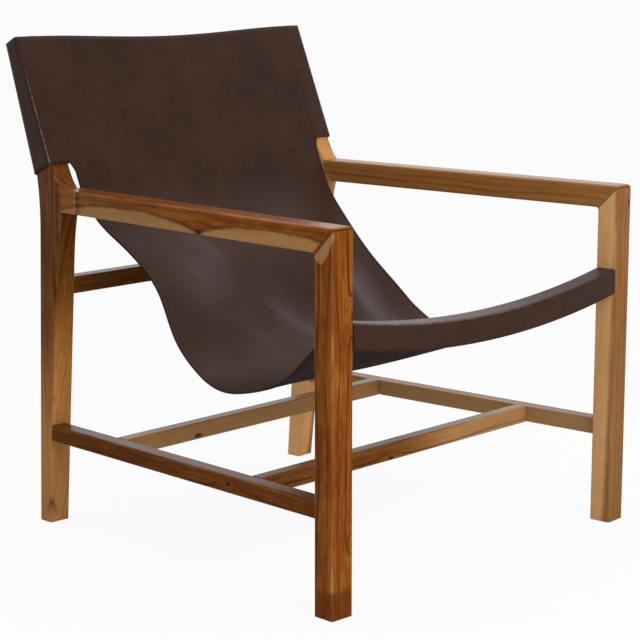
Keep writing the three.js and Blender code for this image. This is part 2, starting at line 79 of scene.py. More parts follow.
# Side frames, in metres: each is turned in towards the back, and its rear leg leans out at the foot
FRONT_WIDTH = 0.688
FRONT_FACE = CAD_BOX[0][1]
TOE_IN = math.radians(2.95)
ARM_HEIGHT = 0.540
ARM_LENGTH = 0.596
ARM_WIDTH = 0.040
ARM_THICKNESS = 0.036
REAR_LEAN = math.radians(0.77)
LEAN_HEIGHT = ARM_HEIGHT - ARM_THICKNESS / 2
FOOT_BACK = 0.650
FOOT_LEAN = 0.0958

# Back posts, which the leather's sleeves slide over
POST_WIDTH = 0.036
POST_EDGE = 0.0035
POST_RAKE = math.radians(22)
POST_START = Vector((ARM_LENGTH + 0.0227, ARM_HEIGHT + 0.037))
POST_BASE_HEIGHT = ARM_HEIGHT + 0.048
POST_BASE_DEPTH = 0.039
POST_TOP_DEPTH = 0.024
POST_HEIGHT = 0.757

# Bowed front rail, which the leather is wrapped round
RAIL_SETBACK = 0.020
RAIL_TOP = 0.4065
RAIL_HEIGHT = 0.033
RAIL_DEPTH = 0.0295
RAIL_BOW = 0.028

# Lie of the leather: down the seat, up past the hips to the bend of the back, and up the posts
SEAT_FRONT_SLOPE = math.radians(43.7)
SEAT_FRONT_LENGTH = 0.126
SEAT_FRONT_EASE = 0.099
BEND_REACH = 0.051
BEND_DROP = 0.073
BEND_SLOPE = math.radians(38)
HIP_REACH = 0.150
HIP_DROP = 0.145
HIP_SLOPE = math.radians(48)
HIP_EASE = 0.106
BACK_EASE = 0.090
RAIL_BEND = 0.0027
FLAP_RISE = 0.0100
SEAT_LIFT = 0.0065
SEAT_LIFT_PLACE = 0.212
SEAT_LIFT_REACH = 0.067
FAR_RISE = 0.004
TOP_DIP = 0.0085

# Edges of the leather: half of its width at the rail, the low of the seat and heights above it
RAIL_HALF = 0.2985
LOW_HALF = {RIGHT: 0.280, LEFT: 0.284}
SEAT_HEIGHT = 0.293
SEAT_HALF = {RIGHT: 0.2647, LEFT: 0.2755}
HIP_HEIGHT = 0.321
HIP_HALF = {RIGHT: 0.263, LEFT: 0.2655}
WAIST_HEIGHT = 0.400
WAIST_HALF = 0.2427
ARM_PASS_HEIGHT = ARM_HEIGHT - 0.004
ARM_CLEARANCE = 0.0035
SLIT_LENGTH = 0.013
SLIT_FLARE = 0.0006

# Sleeves, sewn to the back of the sheet with a lap
SLEEVE_RIM = 0.0104
SLEEVE_RIM_FALL = 0.016
SLEEVE_SLACK = 0.0055
SLEEVE_SLANT = 0.016
SLEEVE_LAP = 0.020
SLEEVE_LAP_DROP = 0.006
SLEEVE_FOLD = 0.0024
SEWN_GAP = 0.0003
LEATHER_GAP = 0.0004

# Seams along the edges: how far in they lie, where their stitches begin and end, and the groove they pull
SEAM_INSET = 0.0068
SEAM_START = 0.012
SEAM_END = 0.004
GROOVE_WIDTH = 0.0014
GROOVE_DEPTH = 0.0005
SLEEVE_GROOVE_DEPTH = 0.0002

# Soft folds of the leather: a ridge from one (along, across) place to another, its width and height
FOLD_START = 0.02
WAVE_HEIGHT = 0.0006
FOLDS = (
    ((0.462, -0.062), (0.345, 0.030), 0.015, 0.0022),
    ((0.610, -0.118), (0.540, -0.080), 0.018, 0.0020),
    ((0.555, -0.175), (0.515, -0.135), 0.016, 0.0012),
    ((0.500, 0.148), (0.395, 0.156), 0.017, 0.0024),
    ((0.420, -0.130), (0.370, -0.080), 0.018, 0.0010),
    ((0.640, 0.060), (0.520, 0.100), 0.024, 0.0014),
)

# Fine creases of the seat, pressed into its relief and painted darker as shade, from one (across, up)
# place in millimetres to another, and their width
CREASES = (
    ((-70, 358), (-40, 328), 1.6),
    ((-186, 292), (-168, 288), 1.2),
)

# Line of rubbed leather with a painted highlight along the front rail's edge, and polish with a painted
# sheen over its top
RAIL_HIGHLIGHT_WIDTH = 0.0013
RAIL_HIGHLIGHT_STRENGTH = 0.8
RAIL_POLISH_AND_SHEEN = 0.75

# Patches of the leather that use has polished, where a sheen is also painted on its colour: (along,
# across, reach along, reach across, strength)
SHEEN = (
    (0.565, -0.104, 0.060, 0.030, 0.42),
    (0.520, -0.155, 0.050, 0.036, 0.34),
    (0.428, -0.030, 0.042, 0.032, 0.42),
    (0.386, 0.012, 0.046, 0.036, 0.46),
    (0.400, -0.105, 0.050, 0.040, 0.20),
    (0.440, 0.172, 0.090, 0.034, 0.85),
)

# Fineness of the leather's mesh
WRAP_STEP = 0.0012
SHEET_STEP = 0.007
SHEET_COLUMNS = 80
HEM_OFFSETS = (0.0, 0.0015, 0.0045, 0.0058, SEAM_INSET, 0.0078, 0.0092, 0.013, 0.020)

# Studio: a wide floor, how much of its white is its own glow that takes no shadow, two lamps and the
# level way from the chair to the bright backdrop behind it
FLOOR_SIZE = 60.0
FLOOR_GLOW = 0.93
LAMP_AIM = Vector((0, 0, 0.35))
OVERHEAD_PLACE = Vector((0.2, 0.3, 2.6))
OVERHEAD_SIZE = 2.4
KEY_PLACE = Vector((-0.4, -2.9, 1.9))
KEY_SIZE = 1.8
BACKDROP_WAY = (0.730, 0.683, 0.0)

# Camera, set where the straight edges of the photograph put it
CAMERA_PLACE = (-2.2177, -2.0904, 0.9021)
CAMERA_TURN = (math.radians(90 - 10.722), 0.0, math.radians(-46.884))
CAMERA_LENS = 110.56
CAMERA_SENSOR = 36


def srgb(red, green, blue):
    """A colour of eight-bit display values, as Blender's linear light."""
    def linear(value):
        share = value / 255
        return share / 12.92 if share <= 0.04045 else ((share + 0.055) / 1.055) ** 2.4
    return linear(red), linear(green), linear(blue)


def eased(share):
    """A share from 0 to 1 with a soft start and end."""
    share = min(max(share, 0.0), 1.0)
    return share * share * (3 - 2 * share)


def flowing(stations, place):
    """The value at a place on a smooth line through (place, value) stations that never overshoots them."""
    index = bisect.bisect_right([start for start, _ in stations], place)
    index = min(max(index, 1), len(stations) - 1)
    (start, first), (end, last) = stations[index - 1:index + 1]
    slopes = [(after[1] - before[1]) / (after[0] - before[0])
              for before, after in zip(stations, stations[1:])]
    def lean(station):
        before, after = slopes[max(station - 1, 0)], slopes[min(station, len(slopes) - 1)]
        return 2 * before * after / (before + after) if before * after > 0 else 0.0
    span = end - start
    share = (place - start) / span
    rest = 1 - share
    return (rest * rest * (first * (1 + 2 * share) + lean(index - 1) * span * share)
            + share * share * (last * (1 + 2 * rest) - lean(index) * span * rest))


def colour_property(name, description, default):
    """A colour that the user may change."""
    return FloatVectorProperty(name=name, description=description, default=default,
                               subtype="COLOR", size=3, min=0.0, max=1.0)


def length_property(name, description, default):
    """A length in metres that the user may change."""
    return FloatProperty(name=name, description=description, default=default, unit="LENGTH", min=0.0)


class WoodFinish(PropertyGroup):
    """Colours and sheen of the hardwood."""

    heart: colour_property("Heartwood", "Main colour of the wood", srgb(136, 68, 14))
    dark: colour_property("Dark grain", "Colour of the dark growth rings", srgb(60, 26, 6))
    light: colour_property("Light grain", "Colour between the growth rings", srgb(174, 110, 42))
    sap: colour_property("Sapwood", "Colour of the pale outer wood", srgb(188, 146, 98))
    dowel: colour_property("Dowels", "Colour of the dowels inside the joints", srgb(203, 176, 131))
    polish: FloatProperty(name="Polish", description="Roughness of the polished surface",
                          default=0.24, min=0.0, max=1.0, subtype="FACTOR")


class SlingFinish(PropertyGroup):
    """Sizes and colours of the leather."""

    thickness: length_property("Leather", "Thickness of the leather", 0.003)
    stitch_pitch: length_property("Stitch pitch", "Length of one stitch with its gap", 0.0042)
    thread_width: length_property("Thread", "Width of the sewing thread", 0.0009)
    hide: colour_property("Grain side", "Colour of the leather's smooth side", srgb(70, 45, 34))
    shade: colour_property("Dark patches", "Colour of the leather's darker patches", srgb(60, 38, 28))
    # Painted sheen: a grey-lilac colour laid on polished patches as reflected light
    sheen: colour_property("Polished patches", "Colour where use has polished it", srgb(106, 92, 95))
    # Rubbed leather, also a painted highlight along the rail's edge and the sleeves' front corners
    worn_and_highlight: colour_property("Rubbed edges", "Colour where the leather is rubbed", srgb(150, 128, 118))
    raw: colour_property("Raw edge", "Colour of the cut edges that were left undyed", srgb(196, 182, 166))
    flesh: colour_property("Flesh side", "Colour of the leather's rough side", srgb(78, 62, 55))
    edge: colour_property("Cut edge", "Colour of the leather's cut edges", srgb(46, 34, 28))
    thread: colour_property("Thread", "Colour of the sewing thread", srgb(60, 42, 33))


class StudioLight(PropertyGroup):
    """Floor, lamps and ambient light of the stage."""

    floor: colour_property("Floor", "Colour of the floor", (0.9, 0.9, 0.9))
    ambient: FloatProperty(name="Ambient", description="Strength of the light from all round",
                           default=0.5, min=0.0)
    front: FloatProperty(name="Front", description="Brightness that the chair mirrors from its front",
                         default=0.08, min=0.0, max=1.0)
    overhead: FloatProperty(name="Overhead", description="Power of the lamp above the chair",
                            default=9.0, min=0.0, unit="POWER")
    key: FloatProperty(name="Key", description="Power of the lamp in front of the chair",
                       default=46.0, min=0.0, unit="POWER")


class Signal:
    """A shader socket that takes part in sums, and adds the nodes for them to its own tree."""

    def __init__(self, tree, socket=None):
        self.tree = tree
        self.socket = socket

    def node(self, kind, settings=None, inputs=None, output=0):
        """Add a node: first its settings, then the values or links of its sockets."""
        made = self.tree.nodes.new(kind)
        for name, value in (settings or {}).items():
            setattr(made, name, value)
        for name, value in (inputs or {}).items():
            if isinstance(value, Signal):
                self.tree.links.new(value.socket, made.inputs[name])
            else:
                made.inputs[name].default_value = value
        return Signal(self.tree, made.outputs[output]) if made.outputs else made

    def math(self, operation, *values):
        """A Math node on some values."""
        return self.node("ShaderNodeMath", {"operation": operation}, dict(enumerate(values)))

    def __add__(self, other):
        return self.math("ADD", self, other)

    def __radd__(self, other):
        return self.math("ADD", other, self)

    def __sub__(self, other):
        return self.math("SUBTRACT", self, other)

    def __rsub__(self, other):
        return self.math("SUBTRACT", other, self)

    def __mul__(self, other):
        return self.math("MULTIPLY", self, other)

    def __rmul__(self, other):
        return self.math("MULTIPLY", other, self)

    def __truediv__(self, other):
        return self.math("DIVIDE", self, other)

    def __rtruediv__(self, other):
        return self.math("DIVIDE", other, self)

    def __pow__(self, other):
        return self.math("POWER", self, other)

    def __abs__(self):
        return self.math("ABSOLUTE", self)

    def at_least(self, other):
        """This value, or the other where that is larger."""
        return self.math("MAXIMUM", self, other)

    def between(self, low, high):
        """0 below low, 1 above high, and a soft step from one to the other."""
        return self.node("ShaderNodeMapRange", {"interpolation_type": "SMOOTHSTEP"},
                         {"Value": self, "From Min": low, "From Max": high})

    def mix(self, first, second, blend="MIX"):
        """Two colours mixed by this value."""
        def opaque(colour):
            return colour if isinstance(colour, Signal) else (*colour, 1.0)
        return self.node("ShaderNodeMix", {"data_type": "RGBA", "blend_type": blend},
                         {0: self, 6: opaque(first), 7: opaque(second)}, 2)

    def scaled(self, share):
        """This colour made brighter or darker."""
        return self.node("ShaderNodeVectorMath", {"operation": "SCALE"}, {0: self, "Scale": share})

    def parts(self):
        """The three parts of this vector."""
        return [self.node("ShaderNodeSeparateXYZ", {}, {0: self}, axis) for axis in range(3)]

    def stretched(self, *shares):
        """This vector with each of its parts scaled."""
        return self.node("ShaderNodeVectorMath", {"operation": "MULTIPLY"}, {0: self, 1: shares})

    def noise(self, scale, detail=2.0, seed=0.0, distortion=0.0):
        """Noise from 0 to 1 over this vector."""
        return self.node("ShaderNodeTexNoise", {"noise_dimensions": "4D"},
                         {"Vector": self, "W": seed, "Scale": scale, "Detail": detail,
                          "Distortion": distortion})


def start_material(name, specular):
    """A new material, with its shader and the object's coordinates."""
    material = bpy.data.materials.new(name)
    material.use_nodes = True
    tree = material.node_tree
    shader = tree.nodes["Principled BSDF"]
    shader.inputs["Specular IOR Level"].default_value = specular
    place = Signal(tree).node("ShaderNodeTexCoord", output="Object")
    return material, shader, place


def mapped(place, turn, origin):
    """Object coordinates in millimetres, turned to a piece's own axes about its origin."""
    return place.node("ShaderNodeMapping", {}, {
        "Vector": place,
        "Location": -(turn @ origin) * MILLIMETRES,
        "Rotation": turn.to_euler(),
        "Scale": (MILLIMETRES,) * 3,
    })


def connect(shader, **signals):
    """Link signals to a shader's sockets: base_color goes to Base Color, and so on."""
    for name, signal in signals.items():
        socket = shader.inputs[name.replace("_", " ").title()]
        signal.tree.links.new(signal.socket, socket)


def bumped(height, distance):
    """The normals of a fine relief, whose heights of 0 to 1 span a distance."""
    return height.node("ShaderNodeBump", {}, {"Height": height, "Distance": distance})


class Cut(NamedTuple):
    """How a piece of wood was cut from its tree, in millimetres from the piece's own middle.

    A value with two ends starts at the piece's low, front or right end.
    """

    # Way that the grain runs: up, back or across
    along: str
    # Middle of the tree, beside the piece and before it
    heart: tuple
    # Half of the piece's section, with 0 where that changes along the piece
    half: tuple
    # Brightness at the two ends
    tone: tuple
    # Start of the noise, and how far the growth rings sway
    seed: float
    sway: float
    # Line where the pale sapwood begins: its two tilts, level, swing, wave and start
    sap: tuple
    # Place along, aside and in depth of each knot, and its radius
    knots: tuple = ()
    # Strength of the growth rings and of the clouds
    bold: tuple = (0.6, 1.0)
    # How golden the figure is at the two ends
    gold: tuple = (0.0, 0.0)
    # How much of the sapwood's colour lies over the two ends
    tan: tuple = (0.0, 0.0)
    # Where one end's look turns into the other's, in shares of half the length
    turn: tuple = (-0.4, 0.4)
    # Brightness of the sapwood
    pale: float = 1.0
    # Strength of the dark rim along the sapwood, and how ragged its line is
    rim: float = 0.5
    ragged: float = 1.0
    # How far the arrises are rubbed
    rub: float = 0.5
    # Whether the piece meets an arm or a leg in a mitre
    mitre: bool = False


WOOD_CUTS = {
    "arm_right": Cut(
        along="back", heart=(52, 30), half=(18, 20), tone=(1.0, 0.85), seed=1.0, sway=20,
        sap=(-1.0, -0.5, -27, 20, 325, 298), knots=((-28, -12, -20, 5),), bold=(0.4, 1.0), mitre=True),
    "arm_left": Cut(
        along="back", heart=(-60, -40), half=(18, 20), tone=(1.0, 1.0), seed=2.3, sway=24,
        sap=(1.0, -0.4, -46, 12, 410, 90), bold=(0.5, 0.9), gold=(0.1, 0.1), tan=(0.25, 0.25), mitre=True),
    "front_leg_right": Cut(
        along="up", heart=(60, 46), half=(20, 18), tone=(0.95, 0.93), seed=3.1, sway=22,
        sap=(-0.8, -1.0, -60, 6, 380, 20), bold=(1.2, 1.3), rub=0.3, mitre=True,
        knots=((150, 20, -18, 5), (-165, 19, -18, 4), (-110, 20, -17, 3))),
    "front_leg_left": Cut(
        along="up", heart=(66, 30), half=(20, 18), tone=(0.74, 0.8), seed=4.7, sway=20,
        sap=(-1.0, 0.5, -17, 6, 1080, -270), knots=((243, 13, -18, 4),), bold=(1.0, 0.9), gold=(0.1, 0.1),
        tan=(0.45, 0.12), pale=2.1, rim=0.1, ragged=0.3, mitre=True),
    "rear_leg_right": Cut(
        along="up", heart=(-44, -90), half=(18, 0), tone=(1.22, 0.48), seed=5.2, sway=34,
        sap=(0.2, -1.0, -190, 18, 600, 100), bold=(0.8, 1.6), gold=(0.26, 0.0), tan=(0.42, 0.0),
        turn=(-0.9, 0.2), rub=1.6),
    "rear_leg_left": Cut(
        along="up", heart=(60, 30), half=(18, 0), tone=(1.15, 0.85), seed=6.4, sway=26,
        sap=(-1.0, -0.4, -8, 10, 500, 60), tan=(0.65, 0.15), pale=1.7),
    "side_stretcher_right": Cut(
        along="back", heart=(40, 60), half=(13, 13), tone=(0.62, 0.5), seed=7.9, sway=18,
        sap=(1.0, 0.2, -40, 5, 300, 0), knots=((-120, 0, -13, 4),)),
    "side_stretcher_left": Cut(
        along="back", heart=(50, 45), half=(13, 13), tone=(1.0, 1.0), seed=8.5, sway=18,
        sap=(-1.0, -0.6, 8, 6, 360, 0), gold=(0.1, 0.1), tan=(0.2, 0.2)),
    "cross_stretcher_front": Cut(
        along="across", heart=(45, 50), half=(11.5, 13.5), tone=(0.62, 1.0), seed=9.2, sway=22,
        sap=(-0.5, 1.0, -34, 9, 460, 120), knots=((-30, -11, -9, 4),), bold=(1.1, 1.3), gold=(0.0, 0.2),
        tan=(0.06, 0.65), turn=(-0.1, 0.45)),
    "cross_stretcher_rear": Cut(
        along="across", heart=(60, 40), half=(11.5, 13.5), tone=(1.0, 1.0), seed=10.6, sway=20,
        sap=(-1.0, -0.3, 6, 7, 380, 200), knots=((-140, -11, -7, 6),), tan=(0.2, 0.2)),
    # The rear rail's low tone is partly its darker wood and partly painted shade where the seat shadows it
    "rear_rail": Cut(
        along="across", heart=(35, -50), half=(13, 13.5), tone=(0.56, 0.56), seed=11.8, sway=18,
        sap=(1.0, 0.5, -40, 5, 400, 0), tan=(0.1, 0.1)),
    "front_rail": Cut(
        along="across", heart=(40, -70), half=(15, 0), tone=(1.0, 1.0), seed=12.4, sway=18,
        sap=(1.0, 0.3, -20, 5, 400, 0)),
}

# Pointed dark arches at the near feet, growth rings on the rear leg and painted shade of a faceted foot on
# the front leg: height of the tip, reach below it, and strength
FOOT_ARCHES_RINGS_AND_SHADE = {"front_leg_right": (43.0, 60.0, 0.3), "rear_leg_right": (46.0, 40.0, 0.6)}

# Length of the paler block at the rear end of the near arm, in millimetres
END_BLOCK = 39


def side_of(name):
    """The side of the chair that a piece is named for."""
    return RIGHT if name.endswith("right") else LEFT


def grain_axes(name, along):
    """Rows of the axes that a piece's grain is drawn on, the last of them along the grain."""
    turn = 0.0 if along == "across" else side_of(name) * TOE_IN
    across, back, up = Matrix.Rotation(turn, 3, "Z").transposed()
    rows = {"up": (across, back, up), "back": (up, across, back), "across": (back, up, across)}
    return Matrix(rows[along])


class Grain:
    """The figure of one piece of wood, drawn on its own axes in millimetres."""

    def __init__(self, place, name, cut, finish):
        low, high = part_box(name)
        self.name = name
        self.cut = cut
        self.finish = finish
        self.middle = (low + high) / 2
        self.span = (high - low) * MILLIMETRES
        self.axes = grain_axes(name, cut.along)
        self.place = mapped(place, self.axes, self.middle)
        self.side, self.face, self.length = self.place.parts()
        self.bent = not cut.half[1]
        self.depth = self.face - self.leg_front() if self.bent else self.face
        reach = max(self.span) / 2
        self.further = self.length.between(cut.turn[0] * reach, cut.turn[1] * reach)
        self.ripple = self.noise(0.2, 0.012, 3.0, 7) - 0.5
        self.streak = self.noise(0.7, 0.008, 3.0, 3)
        self.blotch = self.noise(0.04, 0.011, 3.0, 5)
        self.mottle = self.noise(0.16, 0.035, 3.0, 13)
        self.fibre = self.noise(2.6, 0.05, 2.0, 9)
        self.pore = self.fibre.between(0.62, 0.74)
        self.growth = self.growth_rings()
        self.figure = self.light_and_dark()
        self.beyond = self.past_sapwood_line()
        self.sapwood = self.beyond.between(-2.5, 4.0)
        self.pale = (self.figure * 0.8).between(0.1, 0.7).mix(finish.sap, finish.light)
        # 1 on the front face of a bent leg, which is painted lighter
        self.front = 1 - self.depth.between(0.5, 7.0)
        self.arris = self.near_arris()

    def noise(self, across, along, detail, shift):
        """Noise that is drawn out along the grain, from its fineness across and along it."""
        return self.place.stretched(across, across, along).noise(1.0, detail, self.cut.seed + shift)

    def changing(self, ends):
        """A value that goes from one end of the piece to the other."""
        first, last = ends
        return self.further * (last - first) + first

    def growth_rings(self):
        """Uneven growth rings round the tree's heart, bent by slow sways and by knots."""
        heart_side, heart_face = self.cut.heart
        across = self.side - heart_side + (self.noise(0.018, 0.004, 1.0, 0) - 0.5) * self.cut.sway
        facing = self.face - heart_face + (self.noise(0.018, 0.004, 1.0, 40) - 0.5) * self.cut.sway
        reach = (across ** 2 + facing ** 2) ** 0.5
        for along, side, face, radius in self.cut.knots:
            reach = reach + self.near(along, side, face, radius * 2) * radius * 3
        ring = reach * 0.19 + self.ripple * 0.35 + self.cut.seed
        return ring.node("ShaderNodeTexNoise", {"noise_dimensions": "1D"},
                         {"W": ring, "Scale": 1.0, "Detail": 5.0, "Roughness": 0.62})

    def light_and_dark(self):
        """Rings, streaks, clouds and mottling together, from light to dark."""
        rings, clouds = self.cut.bold
        figure = (self.growth - 0.5) * (0.62 * rings) + (self.streak - 0.5) * 0.55
        figure = figure + (self.blotch - 0.5) * (0.5 * clouds) + (self.mottle - 0.5) * (0.3 * clouds)
        return figure + 0.44 - self.changing(self.cut.gold)

    def near(self, along, side, face, radius):
        """1 at a point of the wood, and less away from it, least along the grain."""
        distance = (((self.length - along) / (radius * 2.4)) ** 2 + ((self.side - side) / radius) ** 2
                    + ((self.depth - face) / radius) ** 2)
        return 1 / (1 + distance * distance)

    def past_sapwood_line(self):
        """How far the wood lies past the ragged line where the sapwood begins."""
        tilt_side, tilt_face, level, swing, wave, start = self.cut.sap
        angle = (start - self.length) * (math.pi / wave)
        humps = abs(angle.math("SINE", angle)) ** 0.6
        rough = self.noise(0.07, 0.02, 2.0, 21) + self.noise(0.3, 0.05, 3.0, 27) - 1
        line = self.side * tilt_side + self.face * tilt_face + humps * swing + level
        return line + rough * (6 * self.cut.ragged)

    def near_arris(self):
        """1 along the arrises, where the finish gets rubbed."""
        half_side, half_face = self.cut.half
        edge = abs(self.side).between(half_side - 3.4, half_side - 1.0)
        if self.bent:
            return edge * (1 - self.depth.between(0.8, 3.4))
        return edge * abs(self.face).between(half_face - 3.4, half_face - 1.0)

    def from_corner(self):
        """The piece's middle from the front outer corner of its side frame, on the grain's axes."""
        return self.axes @ (self.middle - side_place(side_of(self.name), 0, 0, 0)) * MILLIMETRES

    def leg_front(self):
        """Front edge of a rear leg at each height, from its own middle."""
        corner = self.from_corner()
        up = self.length + corner.z
        foot = FOOT_BACK * MILLIMETRES - up * FOOT_LEAN
        post = (up - POST_START.y * MILLIMETRES) * math.tan(POST_RAKE) + POST_START.x * MILLIMETRES
        return foot.at_least(post).at_least(ARM_LENGTH * MILLIMETRES) - corner.y

    def timber(self):
        """Heartwood with its dark rings, and pale sapwood beyond a dark rim."""
        finish = self.finish
        lighter = self.figure.between(0.22, 0.54).mix(finish.light, finish.heart)
        heartwood = self.figure.between(0.5, 0.8).mix(lighter, finish.dark)
        rim = self.beyond.between(-7.0, -1.0) * (1 - self.beyond.between(-1.0, 2.5))
        heartwood = (rim * self.cut.rim).mix(heartwood, finish.dark)
        colour = self.sapwood.mix(heartwood, self.pale)
        # The front of a bent leg is painted lighter: partly paler wood, partly painted light falling on it
        if self.bent:
            colour = (self.front * (0.85 - self.further * 0.5)).mix(colour, finish.light)
        if any(self.cut.tan):
            colour = self.changing(self.cut.tan).mix(colour, finish.sap)
        latewood = self.growth.between(0.53, 0.66) * self.streak.between(0.3, 0.6)
        return (latewood * (1 - self.sapwood) * (0.5 * self.cut.bold[0])).mix(colour, finish.dark)

    def mitred(self, colour):
        """The dark seam of arm and leg, with a smear of oil and a pale wedge at the near one."""
        finish = self.finish
        seam = self.past_mitre()
        if self.name == "front_leg_right":
            belly = 19 - ((self.face + 3) / 21) ** 2 * 19 + self.ripple * 6
            wedge = (seam + belly).between(-1.5, 1.0) * (1 - self.side.between(-19.0, -15.0))
            colour = wedge.mix(colour, self.pale)
        if side_of(self.name) == RIGHT:
            smear = 1 - abs(seam + self.mottle * 3 - 2).between(0.5, 6.0)
            colour = (smear * 0.7).mix(colour, finish.heart)
        line = 1 - abs(seam).between(0.4, 1.8)
        return (line * 0.7).mix(colour, finish.dark)

    def past_mitre(self):
        """Distance from the mitre of arm and leg, positive on the arm's side."""
        side = side_of(self.name)
        turn = Matrix.Rotation(side * TOE_IN, 3, "Z").transposed()
        middle = turn @ (self.middle - side_place(side, 0, 0, 0)) * MILLIMETRES
        back, up = (self.length, self.side) if self.cut.along == "back" else (self.face, self.length)
        return (back + up + (middle.y + middle.z - ARM_HEIGHT * MILLIMETRES)) / math.sqrt(2)

    def end_block(self, colour):
        """A paler block at the rear end of an arm, past a ragged light line with a dark edge."""
        finish = self.finish
        ragged = (self.noise(0.13, 0.05, 4.0, 61) - 0.5) * 20
        beyond = self.length + ragged - (self.span.y / 2 - END_BLOCK)
        mottled = self.noise(0.2, 0.1, 3.0, 67).between(0.35, 0.7)
        block = beyond.between(-1.0, 2.0)
        shadow = beyond.between(-16.0, -3.0) * (1 - block)
        line = beyond.between(-2.0, 0.5) * (1 - beyond.between(1.5, 7.0)) * mottled
        colour = (shadow * 0.55).mix(colour, finish.dark)
        colour = (block * mottled * 0.6).mix(colour, finish.light)
        return (line * 0.9).mix(colour, finish.sap)

    def knot_cores(self):
        """Dark cores of the knots."""
        return sum(self.near(along, side, face, radius * 0.6)
                   for along, side, face, radius in self.cut.knots).between(0.25, 0.8)

    def stained_foot(self, colour):
        """A dark stain at the foot of a leg, and pale scuffs on the arris above it."""
        finish = self.finish
        above = self.length + self.span.z / 2
        stain = 1 - (above + self.mottle * 12).between(42.0, 50.0)
        colour = (stain * 0.55).mix(colour, finish.heart)
        colour = (stain * 0.25).mix(colour, finish.dark)
        scuff = self.arris * above.between(36.0, 46.0) * (1 - above.between(60.0, 90.0))
        return (scuff * self.mottle).mix(colour, finish.sap)

    def foot_arch(self, tip, reach):
        """A pointed dark arch on a right leg's outer front arris, below its tip: growth rings on the rear
        leg, painted shade of a faceted foot on the front leg.
        """
        low, high = [self.axes @ (side_place(RIGHT, 0, 0, up, self.bent) - self.middle) * MILLIMETRES
                     for up in (0, 1)]
        outer = (self.length - low.z) * ((high.x - low.x) / (high.z - low.z)) + low.x
        below = low.z + tip - self.length
        behind = (self.depth + self.cut.half[1]).at_least(0.0)
        off = (self.side - outer + behind - below * 0.36 + self.ripple * 9) / (below * 0.1 + 1.6)
        return below.between(-1.0, 6.0) * (1 - below.between(0.4 * reach, reach)) / (1 + off * off)

    def tone(self):
        """Brightness along the piece and over its sapwood, with the front of a bent leg made brighter as
        painted light.
        """
        tone = self.changing(self.cut.tone) + (self.blotch - 0.5) * 0.5
        tone = tone * (self.sapwood * (self.cut.pale - 1.0) + 1.0)
        # Painted light: the front of a bent leg is brightened most at mid-height
        if self.bent:
            tone = tone * (self.front * self.further * (2.4 - self.further * 2.4) + 1.0)
        return tone


def wood_material(name, cut, finish):
    """Oiled hardwood: uneven growth rings, streaks, pores, knots, a sapwood edge and rubbed arrises."""
    material, shader, place = start_material("wood_" + name, specular=0.14)
    grain = Grain(place, name, cut, finish)
    colour = grain.timber()
    if cut.mitre:
        colour = grain.mitred(colour)
    if name == "arm_right":
        colour = grain.end_block(colour)
    if cut.knots:
        colour = (grain.knot_cores() * 0.85).mix(colour, finish.dark)
    if name == "front_leg_right":
        colour = grain.stained_foot(colour)
    # The front leg's arch is painted shade of its faceted foot; the rear leg's is its grain
    if name in FOOT_ARCHES_RINGS_AND_SHADE:
        tip, reach, strength = FOOT_ARCHES_RINGS_AND_SHADE[name]
        colour = (grain.foot_arch(tip, reach) * strength).mix(colour, finish.dark)
    colour = (grain.pore * 0.34).mix(colour, finish.dark)
    rubbed = grain.arris * grain.noise(0.1, 0.012, 3.0, 31).between(0.42, 0.75)
    colour = (rubbed * cut.rub).mix(colour, finish.sap)
    relief = grain.fibre * 0.12 + grain.growth * 0.3 - grain.pore * 0.25
    relief = relief + grain.noise(0.03, 0.012, 2.0, 51) * 4
    rough = grain.figure * 0.1 + grain.pore * 0.15 + rubbed * 0.2 + (finish.polish - 0.04)
    connect(shader, base_color=colour.scaled(grain.tone()), roughness=rough, normal=bumped(relief, 0.0001))
    return material


def dowel_material(finish):
    """Plain pale dowel with a faint straight grain."""
    material, shader, place = start_material("wood_dowel", specular=0.3)
    fibre = place.stretched(900, 900, 60).noise(1.0, 3.0)
    colour = fibre.between(0.3, 0.75).mix(finish.dowel, finish.sap)
    connect(shader, base_color=colour, roughness=fibre * 0.2 + 0.55, normal=bumped(fibre, 0.0001))
    return material


def soft_edges(node):
    """Shade a piece's rounded edges smooth, and keep its corners crisp."""
    tree = bpy.data.node_groups.get("soft_edges") or soft_edge_tree()
    node.modifiers.new("Soft edges", "NODES").node_group = tree
    weighted = node.modifiers.new("Flat faces", "WEIGHTED_NORMAL")
    weighted.keep_sharp = True


def soft_edge_tree():
    """Merge the loose facets, and shade smooth across every edge under the crease angle."""
    crease = math.radians(38)
    tree = bpy.data.node_groups.new("soft_edges", "GeometryNodeTree")
    tree.is_modifier = True
    for way in ("INPUT", "OUTPUT"):
        tree.interface.new_socket("Geometry", in_out=way, socket_type="NodeSocketGeometry")
    begin = Signal(tree).node("NodeGroupInput")
    merged = begin.node("GeometryNodeMergeByDistance", {}, {"Geometry": begin, "Distance": 0.00001})
    faces = begin.node("GeometryNodeSetShadeSmooth", {"domain": "FACE"}, {0: merged, "Shade Smooth": True})
    angle = begin.node("GeometryNodeInputMeshEdgeAngle")
    flat = begin.node("FunctionNodeCompare", {"data_type": "FLOAT", "operation": "LESS_THAN"},
                      {0: angle, 1: crease})
    edges = begin.node("GeometryNodeSetShadeSmooth", {"domain": "EDGE"}, {0: faces, "Shade Smooth": flat})
    begin.node("NodeGroupOutput", {}, {0: edges})
    return tree


def dress(node, material):
    """Give a piece of the frame its finish."""
    node.data.materials.clear()
    node.data.materials.append(material)
    soft_edges(node)


class SLINGCHAIR_OT_wood(Operator):
    """Oil the wooden frame, with its own grain on every piece"""

    bl_idname = "slingchair.wood"
    bl_label = "Oil the frame"

    def execute(self, context):
        finish = context.scene.slingchair_wood
        for name, cut in WOOD_CUTS.items():
            dress(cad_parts[name], wood_material(name, cut, finish))
        return {"FINISHED"}


